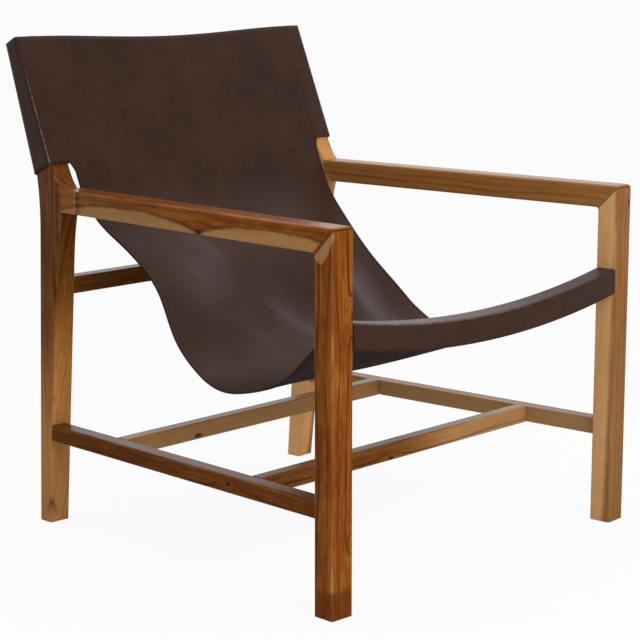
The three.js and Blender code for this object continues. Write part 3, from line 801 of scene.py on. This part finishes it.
class SLINGCHAIR_OT_dowels(Operator):
    """Finish the dowels that are hidden in the joints"""

    bl_idname = "slingchair.dowels"
    bl_label = "Finish the dowels"

    def execute(self, context):
        material = dowel_material(context.scene.slingchair_wood)
        for name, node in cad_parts.items():
            if "dowel" in name:
                dress(node, material)
        return {"FINISHED"}


def side_place(side, depth, back, up, leaning=False):
    """A point of a side frame: in from its outer face, back from the front of its leg, and up."""
    place = Vector((-side * depth, back, up))
    if leaning:
        pivot = Vector((0, 0, LEAN_HEIGHT))
        place = Matrix.Rotation(side * REAR_LEAN, 3, "Y") @ (place - pivot) + pivot
    place = Matrix.Rotation(side * TOE_IN, 3, "Z") @ place
    return place + Vector((side * FRONT_WIDTH / 2, FRONT_FACE, 0))


def post_front(up):
    """How far back the front of a post is at a height."""
    return POST_START.x + (up - POST_START.y) * math.tan(POST_RAKE)


def post_depth(up):
    """Level depth of a post at a height."""
    share = (up - POST_BASE_HEIGHT) / (POST_HEIGHT - POST_BASE_HEIGHT)
    return POST_BASE_DEPTH + (POST_TOP_DEPTH - POST_BASE_DEPTH) * share


def arc(centre, radius, start, end, steps=8):
    """Points of an arc in the (back, up) plane, its angles in degrees from back towards up."""
    angles = [math.radians(start + (end - start) * step / steps) for step in range(steps + 1)]
    return [centre + radius * Vector((math.cos(angle), math.sin(angle))) for angle in angles]


def spread(start, end, step):
    """Even places from start up to, but not at, end."""
    count = max(1, round((end - start) / step))
    return [start + (end - start) * index / count for index in range(count)]


class Route:
    """A line of points in the (back, up) plane, measured along its length."""

    def __init__(self, points):
        self.points = [points[0]]
        self.marks = [0.0]
        for point in points[1:]:
            step = (point - self.points[-1]).length
            if step > 1e-6:
                self.points.append(point)
                self.marks.append(self.marks[-1] + step)
        self.length = self.marks[-1]

    def at(self, distance):
        """The point at a distance from the start, past the ends too."""
        index = bisect.bisect_right(self.marks, distance) - 1
        index = min(max(index, 0), len(self.points) - 2)
        span = self.marks[index + 1] - self.marks[index]
        return self.points[index].lerp(self.points[index + 1], (distance - self.marks[index]) / span)

    def heading(self, distance, reach=0.0015):
        """The way that the line runs at a distance, taken over a short reach."""
        return (self.at(distance + reach) - self.at(distance - reach)).normalized()

    def nearest(self, test, start):
        """The first distance past start where test, given the point, holds."""
        for mark, point in zip(self.marks, self.points):
            if mark > start and test(point):
                return mark
        raise RuntimeError("The leather has no such place")


class Sling:
    """The lie of the leather: a sheet measured along from the front rail and across from its middle."""

    def __init__(self, thickness):
        self.thickness = thickness
        self.skin = LEATHER_GAP + thickness / 2
        self.post_skin = self.skin / math.cos(POST_RAKE)
        self.rail_end = side_place(LEFT, ARM_WIDTH, RAIL_SETBACK, 0)
        self.rail_radius = (self.rail_end.x ** 2 + RAIL_BOW ** 2) / (2 * RAIL_BOW)
        self.rail_middle = Vector((self.rail_end.y, RAIL_TOP - RAIL_HEIGHT / 2))
        wrap = self.rail_wrap()
        self.lead = Route(wrap).length
        run, self.low = self.seat_and_back(wrap[-1])
        self.route = Route(wrap + run)
        self.top = self.route.length - self.lead
        post_run = (POST_HEIGHT + SLEEVE_RIM - POST_START.y) / math.cos(POST_RAKE)
        self.foot = self.top - post_run
        self.stations = {side: self.side_edge(side) for side in SIDES}

    def rail_wrap(self):
        """Round the rail: down from the flap behind it, under it, up its front and over its top."""
        across = RAIL_DEPTH / 2 + self.skin
        high = RAIL_HEIGHT / 2 + self.skin
        bend = RAIL_BEND
        inner = [Vector((x, y)) for x, y in ((across - bend, high - bend), (across - bend, bend - high),
                                             (bend - across, bend - high), (bend - across, high - bend))]
        corners = [self.rail_middle + corner for corner in inner]
        flap = self.rail_middle + Vector((across, FLAP_RISE))
        leave = 90 - math.degrees(SEAT_FRONT_SLOPE)
        self.rail_edge = -(bend * SEAT_FRONT_SLOPE + 2 * (across - bend) + bend * math.pi / 4)
        return [flap, *arc(corners[1], bend, 0, -90), *arc(corners[2], bend, -90, -180),
                *arc(corners[3], bend, 180, 90), *arc(corners[0], bend, 90, leave)]

    def seat_and_back(self, start):
        """Down the seat, up the back and along the posts, with the middle of the seat's curve."""
        def along(slope, length):
            return length * Vector((math.cos(slope), math.sin(slope)))
        def knee(depth, back):
            return side_place(RIGHT, depth, back, ARM_HEIGHT, True).y
        def curve(*handles):
            return [Vector(point[:2]) for point in interpolate_bezier(*handles, 60)]
        front = start + along(-SEAT_FRONT_SLOPE, SEAT_FRONT_LENGTH)
        bend = Vector((knee(POST_WIDTH, ARM_LENGTH) - BEND_REACH, ARM_HEIGHT - BEND_DROP))
        hip = bend - Vector((HIP_REACH, HIP_DROP))
        lift = Vector((knee(POST_WIDTH, post_front(ARM_HEIGHT)) - self.post_skin, ARM_HEIGHT))
        rise = Vector((math.sin(POST_RAKE), math.cos(POST_RAKE)))
        crown = lift + rise * (POST_HEIGHT + SLEEVE_RIM - ARM_HEIGHT) / rise.y
        turn = meeting(bend, along(BEND_SLOPE, 1.0), lift, rise)
        seat = curve(front, front + along(-SEAT_FRONT_SLOPE, SEAT_FRONT_EASE),
                     hip - along(HIP_SLOPE, HIP_EASE), hip)
        back = curve(hip, hip + along(HIP_SLOPE, BACK_EASE), bend - along(BEND_SLOPE, BACK_EASE), bend)
        ease = curve(bend, bend.lerp(turn, 2 / 3), lift.lerp(turn, 2 / 3), lift)
        low = SEAT_FRONT_LENGTH + Route(seat).length / 2
        post = [lift.lerp(crown, share / 40) for share in range(1, 41)]
        return seat + back[1:] + ease[1:] + post, low

    def side_edge(self, side):
        """How far out one edge of the sheet lies at places along it."""
        def at_height(height):
            return self.route.nearest(lambda point: point.y > height, self.lead + self.low) - self.lead
        def post_inner(up):
            return side_place(LEFT, POST_WIDTH, post_front(up), up, True).x
        arm = side_place(LEFT, ARM_WIDTH + ARM_CLEARANCE, ARM_LENGTH, ARM_HEIGHT).x
        return [(0.0, RAIL_HALF), (self.low, LOW_HALF[side]), (at_height(SEAT_HEIGHT), SEAT_HALF[side]),
                (at_height(HIP_HEIGHT), HIP_HALF[side]), (at_height(WAIST_HEIGHT), WAIST_HALF),
                (at_height(ARM_PASS_HEIGHT), arm), (self.foot - SLIT_LENGTH, arm + SLIT_FLARE),
                (self.foot, post_inner(POST_START.y)), (self.top, post_inner(POST_HEIGHT + SLEEVE_RIM))]

    def edge(self, along, side):
        """How far from the middle one edge of the sheet lies."""
        if along < 0:
            spot = self.route.at(along + self.lead)
            return side_place(LEFT, ARM_WIDTH + LEATHER_GAP, spot.x - FRONT_FACE, 0).x
        if along > self.foot:
            (start, first), (end, last) = self.stations[side][-2:]
            return first + (last - first) * (along - start) / (end - start)
        return flowing(self.stations[side], along)

    def sag(self, across):
        """Height of the bowed rail over its ends, which is below 0 between them."""
        def drop(x):
            return math.sqrt(self.rail_radius ** 2 - x * x)
        return drop(self.rail_end.x) - drop(min(abs(across), self.rail_end.x))

    def normal(self, along):
        """The grain side's direction in the (back, up) plane."""
        heading = self.route.heading(along + self.lead)
        return Vector((0, -heading.y, heading.x))

    def place(self, along, across, lift=0.0):
        """A point of the leather's middle layer, or one lifted off it towards its grain side."""
        half = self.edge(along, RIGHT if across < 0 else LEFT)
        inward = half - abs(across)
        up_the_post = eased((along - self.foot) / (self.top - self.foot))
        dip = TOP_DIP * (1 - (across / half) ** 2) ** 2 * up_the_post
        spot = self.route.at(along + self.lead - dip)
        fade = 1.0 if along < 0 else max(0.0, 1 - along / self.low) ** 2
        rise = fade * self.sag(across) + self.seat_lift(along, across)
        lift += self.hem_groove(inward, along) + self.ease_folds(along, across)
        return Vector((across, spot.x, spot.y + rise)) + self.normal(along) * lift

    def seat_lift(self, along, across):
        """How much the front of the seat is raised, most of all towards the sitter's left."""
        if along < 0:
            return 0.0
        share = math.exp(-((along - SEAT_LIFT_PLACE) / SEAT_LIFT_REACH) ** 2)
        return (SEAT_LIFT + FAR_RISE * eased((across + 0.15) / 0.40)) * share * eased(along / 0.05)

    def hem_groove(self, inward, along):
        """The leather drawn in along the line of stitches near its edges."""
        depth = SLEEVE_GROOVE_DEPTH if along > self.foot else GROOVE_DEPTH * eased(along / 0.03)
        return -depth * math.exp(-((inward - SEAM_INSET) / GROOVE_WIDTH) ** 2)

    def ease_folds(self, along, across):
        """Soft hollows and swells of leather that has been sat in."""
        if along < FOLD_START:
            return 0.0
        fade = eased((along - FOLD_START) / 0.1) * eased((self.foot - along) / 0.12)
        waves = (math.sin(along * 21 + across * 13) + math.sin(along * 13 - across * 19 + 1.3)
                 + 0.6 * math.sin(along * 37 + across * 8 + 0.5))
        height = WAVE_HEIGHT * waves
        for start, end, width, ridge in FOLDS:
            line = Vector(end) - Vector(start)
            spot = Vector((along, across)) - Vector(start)
            share = spot.dot(line) / line.length_squared
            aside = (spot - line * share).length / width
            beyond = (share - 0.5) / 0.42
            height += ridge * math.exp(-aside * aside - beyond ** 4)
        return height * fade


def meeting(first, first_way, second, second_way):
    """Where two lines in the (back, up) plane meet."""
    gap = second - first
    cross = first_way.x * second_way.y - first_way.y * second_way.x
    return first + first_way * ((gap.x * second_way.y - gap.y * second_way.x) / cross)


def sleeve_section(sling, depth):
    """Round a post of a given depth, as (in from its outer face, back from its front, rubbing with a
    painted highlight) points.
    """
    skin, level = sling.skin, sling.post_skin
    edge, width = POST_EDGE, POST_WIDTH
    lap = sling.thickness + SEWN_GAP - level
    turn = SLEEVE_FOLD
    def straight(start, end, steps):
        (across, back), (to_across, to_back) = start, end
        return [(across + (to_across - across) * step / steps, back + (to_back - back) * step / steps, 0.0)
                for step in range(1, steps + 1)]
    def corner(middle, spans, start):
        angles = [math.radians(start - 90 * step / 6) for step in range(1, 7)]
        return [(middle[0] + spans[0] * math.cos(angle), middle[1] + spans[1] * math.sin(angle),
                 math.exp(-((step - 3.2) / 0.8) ** 2)) for step, angle in enumerate(angles, 1)]
    round_span = (edge + skin, edge + level)
    fold = (width + skin + turn, lap + turn)
    points = straight((width, -level), (edge, -level), 7)
    points += corner((edge, edge), round_span, -90)
    points += straight((-skin, edge), (-skin, depth - edge), 7)
    points += corner((edge, depth - edge), round_span, 180)
    points += straight((edge, depth + level), (width - edge, depth + level), 6)
    points += corner((width - edge, depth - edge), round_span, 90)
    points += straight((width + skin, depth - edge), (width + skin, fold[1]), 5)
    points += [(fold[0] - turn * math.cos(angle), fold[1] - turn * math.sin(angle), 0.0)
               for angle in (math.pi * step / 8 for step in range(1, 5))]
    points += straight((fold[0], lap), (width + SLEEVE_LAP, lap), 4)
    return points


def sleeve_place(side, share, point):
    """A point of a sleeve, a share of the way up from its slanting mouth to its rim."""
    across, back, _ = point
    behind = max(0.0, back) / POST_BASE_DEPTH
    mouth = POST_START.y - SLEEVE_SLANT * behind
    rim = POST_HEIGHT + SLEEVE_RIM - SLEEVE_RIM_FALL * behind
    if across > POST_WIDTH:
        rim -= SLEEVE_LAP_DROP
    up = mouth + (rim - mouth) * share
    inner = max(0.0, across - POST_WIDTH) * math.sin(TOE_IN)
    return side_place(side, across, post_front(up) + back + inner, up, True)


class SLINGCHAIR_OT_leather(Operator):
    """Cut, wrap and hang the sheet of leather"""

    bl_idname = "slingchair.leather"
    bl_label = "Hang the leather"

    def execute(self, context):
        finish = context.scene.slingchair_sling
        sling = Sling(finish.thickness)
        piece = leather_piece(sling)
        for material in (hide_material(finish), flesh_material(finish), edge_material(finish)):
            piece.data.materials.append(material)
        wall = piece.modifiers.new("Thickness", "SOLIDIFY")
        wall.thickness = finish.thickness
        wall.offset = 0.0
        wall.use_even_offset = True
        wall.material_offset = 1
        wall.material_offset_rim = 2
        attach(piece, "root")
        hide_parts("sling")
        return {"FINISHED"}


def leather_piece(sling):
    """The sheet's mesh: a grid whose rows run along the leather and whose columns run across it."""
    rows = spread(-sling.lead, 0.0, WRAP_STEP) + spread(0.0, sling.foot, SHEET_STEP)
    foot_row = len(rows)
    rows += spread(sling.foot, sling.top, SHEET_STEP) + [sling.top]
    section = sleeve_section(sling, POST_BASE_DEPTH)
    sleeve = len(section)
    middle = [2 * index / SHEET_COLUMNS - 1 for index in range(1, SHEET_COLUMNS)]
    columns = ([("sleeve", RIGHT, index) for index in reversed(range(sleeve))]
               + [("hem", RIGHT, offset) for offset in HEM_OFFSETS]
               + [("middle", 0, share) for share in middle]
               + [("hem", LEFT, offset) for offset in reversed(HEM_OFFSETS)]
               + [("sleeve", LEFT, index) for index in range(sleeve)])
    mesh = bmesh.new()
    bmesh.ops.create_grid(mesh, x_segments=len(columns) - 1, y_segments=len(rows) - 1, size=1.0)
    layers = mesh.verts.layers.float
    wear_and_highlight, polish, raw, gather = [layers.new(name) for name in ("wear_and_highlight", "polish", "raw", "gather")]
    spare = []
    for vert in mesh.verts:
        column = columns[round((vert.co.x + 1) / 2 * (len(columns) - 1))]
        row = round((vert.co.y + 1) / 2 * (len(rows) - 1))
        kind, side, value = column
        along = rows[row]
        if kind != "sleeve":
            half = sling.edge(along, side or (RIGHT if value < 0 else LEFT))
            across = side * (half - value) if kind == "hem" else value * (half - HEM_OFFSETS[-1])
            vert.co = sling.place(along, across)
            # Polish lowers the roughness and also paints a sheen on the colour
            vert[polish] = max(sheen(along, across), rail_polish_and_sheen(sling, along, across))
            # Rubbed leather with a painted highlight along the rail's upper edge
            vert[wear_and_highlight] = rail_rub_and_highlight(sling, along, across)
            vert[gather] = eased((across - 0.02) / 0.15) if sling.rail_edge < along < 0.01 else 0.0
        elif row < foot_row:
            spare.append(vert)
        else:
            share = (along - sling.foot) / (sling.top - sling.foot)
            up = POST_START.y + (POST_HEIGHT + SLEEVE_RIM - POST_START.y) * share
            point = sleeve_section(sling, post_depth(up) + SLEEVE_SLACK)[value]
            vert.co = sleeve_place(side, share, point)
            # Rubbed leather with a painted highlight along each sleeve's front corner, fading up the post
            vert[wear_and_highlight] = point[2] * (1 - 0.5 * share * share)
            vert[raw] = 1.0 if row == len(rows) - 1 else 0.0
    bmesh.ops.delete(mesh, geom=spare, context="VERTS")
    for face in mesh.faces:
        face.smooth = True
    return finished(mesh, "sling_leather")


def sheen(along, across):
    """How polished the leather is at a place, which also sets how much sheen is painted on its colour
    there.
    """
    total = 0.0
    for middle, aside, reach, spread_out, strength in SHEEN:
        distance = ((along - middle) / reach) ** 2 + ((across - aside) / spread_out) ** 2
        total += strength * math.exp(-distance)
    return min(total, 1.0)


def rail_rub_and_highlight(sling, along, across):
    """Rubbed leather with a painted highlight along the front rail's upper edge, most of all at the
    sitter's right.
    """
    fade = 1 - 0.4 * eased(across / 0.2)
    return RAIL_HIGHLIGHT_STRENGTH * fade * math.exp(-((along - sling.rail_edge) / RAIL_HIGHLIGHT_WIDTH) ** 2)


def rail_polish_and_sheen(sling, along, across):
    """Polished leather with a painted sheen on the front rail's top, most of all at the sitter's right."""
    if not sling.rail_edge < along < 0:
        return 0.0
    return RAIL_POLISH_AND_SHEEN * (1 - 0.75 * eased((across + 0.05) / 0.3))


def finished(mesh, name):
    """Turn a bmesh into a piece of the chair, at the origin."""
    data = bpy.data.meshes.new(name)
    mesh.to_mesh(data)
    mesh.free()
    piece = bpy.data.objects.new(name, data)
    bpy.context.scene.collection.objects.link(piece)
    return piece


def leather_place(place):
    """Object coordinates in millimetres."""
    return place.stretched(*(MILLIMETRES,) * 3)


def crease_line(hide, start, end, width):
    """1 along a line on the seat, from one (across, up) point to another, and less beside it."""
    across, back, up = hide.parts()
    line = Vector(end) - Vector(start)
    way = line.normalized()
    along = (across - start[0]) * way.x + (up - start[1]) * way.y
    aside = ((across - start[0]) * way.y - (up - start[1]) * way.x) / width
    within = along.between(0.0, line.length * 0.3) * (1 - along.between(line.length * 0.5, line.length))
    return within * back.between(-60.0, -50.0) / (1 + aside * aside)


def hide_material(finish):
    """Smooth side of the leather: fine pebbled grain, soft patches and rubbed creases."""
    material, shader, place = start_material("leather_grain", specular=0.22)
    hide = leather_place(place)
    patch = hide.noise(0.011, 3.0, 1.0)
    cloud = hide.noise(0.06, 4.0, 2.0)
    pebble = hide.node("ShaderNodeTexVoronoi", {"feature": "SMOOTH_F1"},
                       {"Vector": hide, "Scale": 0.85, "Smoothness": 0.6}, "Distance")
    crease = hide.noise(0.32, 5.0, 3.0, 0.6)
    wear_and_highlight, polish, gather = [hide.node("ShaderNodeAttribute", {"attribute_name": name}, {}, "Fac")
                            for name in ("wear_and_highlight", "polish", "gather")]
    tint = (patch * 0.6 + cloud * 0.4).between(0.36, 0.64)
    colour = tint.mix(finish.shade, finish.hide)
    # Painted sheen: polished patches turn grey-lilac, as if they reflected light
    colour = (polish * (crease * 0.8 + 0.3)).mix(colour, finish.sheen)
    # Rubbed edges, partly a painted highlight, along the sleeves' corners and the rail's edge
    rubbed = (wear_and_highlight * (hide.noise(0.14, 3.0, 9.0) * 1.3 + 0.1)).between(0.25, 1.0)
    colour = rubbed.mix(colour, finish.worn_and_highlight)
    # Painted shade: the fine creases are darkened as if shade fell in them
    creases_and_shade = sum(crease_line(hide, *crease) for crease in CREASES)
    colour = (creases_and_shade * 0.8).mix(colour, finish.edge)
    ripple = hide.stretched(0.17, 0.03, 0.03).noise(1.0, 2.0, 8.0) * gather
    rough = cloud * 0.14 + crease * 0.12 - polish * 0.14 + 0.37
    relief = pebble * 0.3 + crease * 0.5 - creases_and_shade * 3 + ripple * 9
    connect(shader, base_color=colour, roughness=rough, normal=bumped(relief, 0.0002))
    return material


def flesh_material(finish):
    """Rough side of the leather, with its loose fibres."""
    material, shader, place = start_material("leather_flesh", specular=0.2)
    hide = leather_place(place)
    nap = hide.noise(0.9, 5.0, 4.0, 0.8)
    patch = hide.noise(0.02, 3.0, 5.0)
    colour = (nap * 0.6 + patch * 0.4).between(0.3, 0.7).mix(finish.edge, finish.flesh)
    connect(shader, base_color=colour, roughness=nap * 0.15 + 0.75, normal=bumped(nap, 0.0003))
    return material


def edge_material(finish):
    """Cut edge of the leather, dyed and burnished."""
    material, shader, place = start_material("leather_edge", specular=0.4)
    hide = leather_place(place)
    layer = hide.noise(0.7, 4.0, 6.0)
    raw = hide.node("ShaderNodeAttribute", {"attribute_name": "raw"}, {}, "Fac")
    dyed = layer.between(0.3, 0.7).mix(finish.edge, finish.shade)
    colour = (raw * layer.between(0.25, 0.55)).mix(dyed, finish.raw)
    connect(shader, base_color=colour, roughness=layer * 0.2 + 0.45, normal=bumped(layer, 0.0002))
    return material


class SLINGCHAIR_OT_stitching(Operator):
    """Sew the hems of the leather and the seams of its sleeves"""

    bl_idname = "slingchair.stitching"
    bl_label = "Sew the leather"

    def execute(self, context):
        finish = context.scene.slingchair_sling
        sling = Sling(finish.thickness)
        bead = bead_mesh()
        mesh = bmesh.new()
        for side in SIDES:
            for along in spread(SEAM_START, sling.top - SEAM_END, finish.stitch_pitch):
                for face in (1, -1):
                    stitch = bead.copy()
                    stitch.transform(stitch_place(sling, side, along, face, finish))
                    mesh.from_mesh(stitch)
                    bpy.data.meshes.remove(stitch)
        bpy.data.meshes.remove(bead)
        thread = finished(mesh, "sling_stitching")
        thread.data.materials.append(thread_material(finish))
        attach(thread, "root")
        width = 2 * sling.edge(0.0, LEFT)
        return {"FINISHED"}


def bead_mesh():
    """A smooth bead of few faces, the shape of every stitch."""
    mesh = bmesh.new()
    bmesh.ops.create_uvsphere(mesh, u_segments=6, v_segments=4, radius=1.0)
    for face in mesh.faces:
        face.smooth = True
    data = bpy.data.meshes.new("bead")
    mesh.to_mesh(data)
    mesh.free()
    return data


def stitch_place(sling, side, along, face, finish):
    """Place of one stitch: a short flat bead of thread half sunk in the leather."""
    def seam(place):
        across = side * (sling.edge(place, side) - SEAM_INSET)
        return sling.place(place, across, face * (sling.thickness / 2 + finish.thread_width * 0.1))
    reach = finish.stitch_pitch * 0.4
    start, end = seam(along - reach), seam(along + reach)
    way = (end - start).normalized()
    out = sling.normal(along) * face
    beside = way.cross(out).normalized()
    turn = Matrix((way, beside, way.cross(beside))).transposed().to_4x4()
    length = (end - start).length
    sizes = Matrix.Diagonal((length / 2, finish.thread_width / 2, finish.thread_width / 2.6, 1.0))
    return Matrix.Translation((start + end) / 2) @ turn @ sizes


def thread_material(finish):
    """Waxed thread with a fine twist."""
    material, shader, place = start_material("thread", specular=0.3)
    hide = leather_place(place)
    twist = hide.noise(3.0, 2.0, 7.0)
    colour = twist.between(0.3, 0.7).mix(finish.thread, finish.hide)
    connect(shader, base_color=colour, roughness=twist * 0.2 + 0.5, normal=bumped(twist, 0.0001))
    return material


class SLINGCHAIR_OT_stage(Operator):
    """Set the floor, lamps, world and camera"""

    bl_idname = "slingchair.stage"
    bl_label = "Set the stage"

    def execute(self, context):
        light = context.scene.slingchair_light
        mesh = bmesh.new()
        bmesh.ops.create_grid(mesh, x_segments=1, y_segments=1, size=FLOOR_SIZE)
        floor = finished(mesh, "floor")
        floor.data.materials.append(floor_material(light))
        set_world(context.scene, light)
        add_lamp("overhead_lamp", light.overhead, OVERHEAD_SIZE, OVERHEAD_PLACE, mirrored=True)
        add_lamp("key_lamp", light.key, KEY_SIZE, KEY_PLACE, mirrored=False)
        add_camera(context.scene)
        context.scene.view_settings.view_transform = "Standard"
        return {"FINISHED"}


class RayKinds:
    """Which rays see a surface of the stage: the camera's own and mirrored ones see it white."""

    def __init__(self, tree):
        path = tree.nodes.new("ShaderNodeLightPath")
        self.seen = Signal(tree, path.outputs["Is Camera Ray"])
        self.glossy = Signal(tree, path.outputs["Is Glossy Ray"])
        self.clear = Signal(tree, path.outputs["Is Transmission Ray"])
        self.direct = self.seen.at_least(self.clear)
        self.shown = self.direct.at_least(self.glossy)


def towards_backdrop(place):
    """How far a point or a direction lies towards the backdrop."""
    return place.node("ShaderNodeVectorMath", {"operation": "DOT_PRODUCT"},
                      {0: place, 1: BACKDROP_WAY}, "Value")


def floor_material(light):
    """Pale floor that looks white, keeps the chair's shadow and is dim in front of the chair."""
    material, shader, place = start_material("floor", specular=0.0)
    shader.inputs["Roughness"].default_value = 0.9
    mottle = place.noise(2.0, 2.0)
    colour = mottle.between(0.2, 0.8).mix(light.floor, tuple(value * 0.985 for value in light.floor))
    connect(shader, base_color=colour)
    tree = material.node_tree
    rays = RayKinds(tree)
    in_front = 1 - towards_backdrop(place).between(0.2, 1.2)
    bright = (1 - rays.glossy * in_front * (1 - light.front)).mix((0, 0, 0), (1, 1, 1))
    glow = place.node("ShaderNodeEmission", {}, {"Color": bright, "Strength": 1.0})
    body = Signal(tree, shader.outputs["BSDF"])
    mixed = place.node("ShaderNodeMixShader", {}, {0: rays.shown * FLOOR_GLOW, 1: body, 2: glow})
    tree.links.new(mixed.socket, tree.nodes["Material Output"].inputs["Surface"])
    return material


def set_world(scene, light):
    """White behind the chair where it is seen or mirrored, and a soft even light elsewhere."""
    world = bpy.data.worlds.new("studio")
    world.use_nodes = True
    scene.world = world
    tree = world.node_tree
    background = tree.nodes["Background"]
    background.inputs["Color"].default_value = (1, 1, 1, 1)
    rays = RayKinds(tree)
    way = Signal(tree).node("ShaderNodeTexCoord", output="Generated")
    mirrored = towards_backdrop(way).between(0.2, 0.6) * (1 - light.front) + light.front
    strength = rays.direct * (1 - light.ambient) + rays.glossy * (mirrored - light.ambient)
    strength = strength + light.ambient
    tree.links.new(strength.socket, background.inputs["Strength"])


def add_lamp(name, power, size, place, mirrored):
    """A large soft lamp that faces the chair, and that glossy surfaces mirror or don't."""
    lamp = bpy.data.lights.new(name, "AREA")
    lamp.energy = power
    lamp.size = size
    holder = bpy.data.objects.new(name, lamp)
    holder.visible_glossy = mirrored
    holder.location = place
    holder.rotation_euler = (LAMP_AIM - place).to_track_quat("-Z", "Y").to_euler()
    bpy.context.scene.collection.objects.link(holder)


def add_camera(scene):
    """The camera at the photograph's place."""
    camera = bpy.data.cameras.new("camera")
    camera.lens = CAMERA_LENS
    camera.sensor_width = CAMERA_SENSOR
    camera.clip_end = 200
    holder = bpy.data.objects.new("camera", camera)
    holder.location = CAMERA_PLACE
    holder.rotation_euler = Euler(CAMERA_TURN)
    scene.collection.objects.link(holder)
    scene.camera = holder


GROUPS = {"slingchair_wood": WoodFinish, "slingchair_sling": SlingFinish, "slingchair_light": StudioLight}
OPERATORS = (SLINGCHAIR_OT_wood, SLINGCHAIR_OT_dowels, SLINGCHAIR_OT_leather, SLINGCHAIR_OT_stitching,
             SLINGCHAIR_OT_stage)


class SLINGCHAIR_PT_panel(Panel):
    """Settings and steps of the chair"""

    bl_label = "Sling Chair"
    bl_idname = "SLINGCHAIR_PT_panel"
    bl_space_type = "VIEW_3D"
    bl_region_type = "UI"
    bl_category = "Sling Chair"

    def draw(self, context):
        for group in GROUPS:
            settings = getattr(context.scene, group)
            box = self.layout.box()
            for name in settings.__annotations__:
                box.prop(settings, name)
        for operator in OPERATORS:
            self.layout.operator(operator.bl_idname)


def register():
    """Add the chair's classes, and its settings to every scene."""
    for kind in (*GROUPS.values(), *OPERATORS, SLINGCHAIR_PT_panel):
        bpy.utils.register_class(kind)
    for name, group in GROUPS.items():
        setattr(bpy.types.Scene, name, PointerProperty(type=group))


def unregister():
    """Take the settings and the classes away again."""
    for name in GROUPS:
        delattr(bpy.types.Scene, name)
    for kind in (SLINGCHAIR_PT_panel, *reversed(OPERATORS), *reversed(GROUPS.values())):
        bpy.utils.unregister_class(kind)


def main():
    """Finish the chair piece by piece and set the stage."""
    register()
    bpy.ops.slingchair.wood()
    bpy.ops.slingchair.dowels()
    bpy.ops.slingchair.leather()
    bpy.ops.slingchair.stitching()
    bpy.ops.slingchair.stage()


if __name__ == "__main__":
    main()
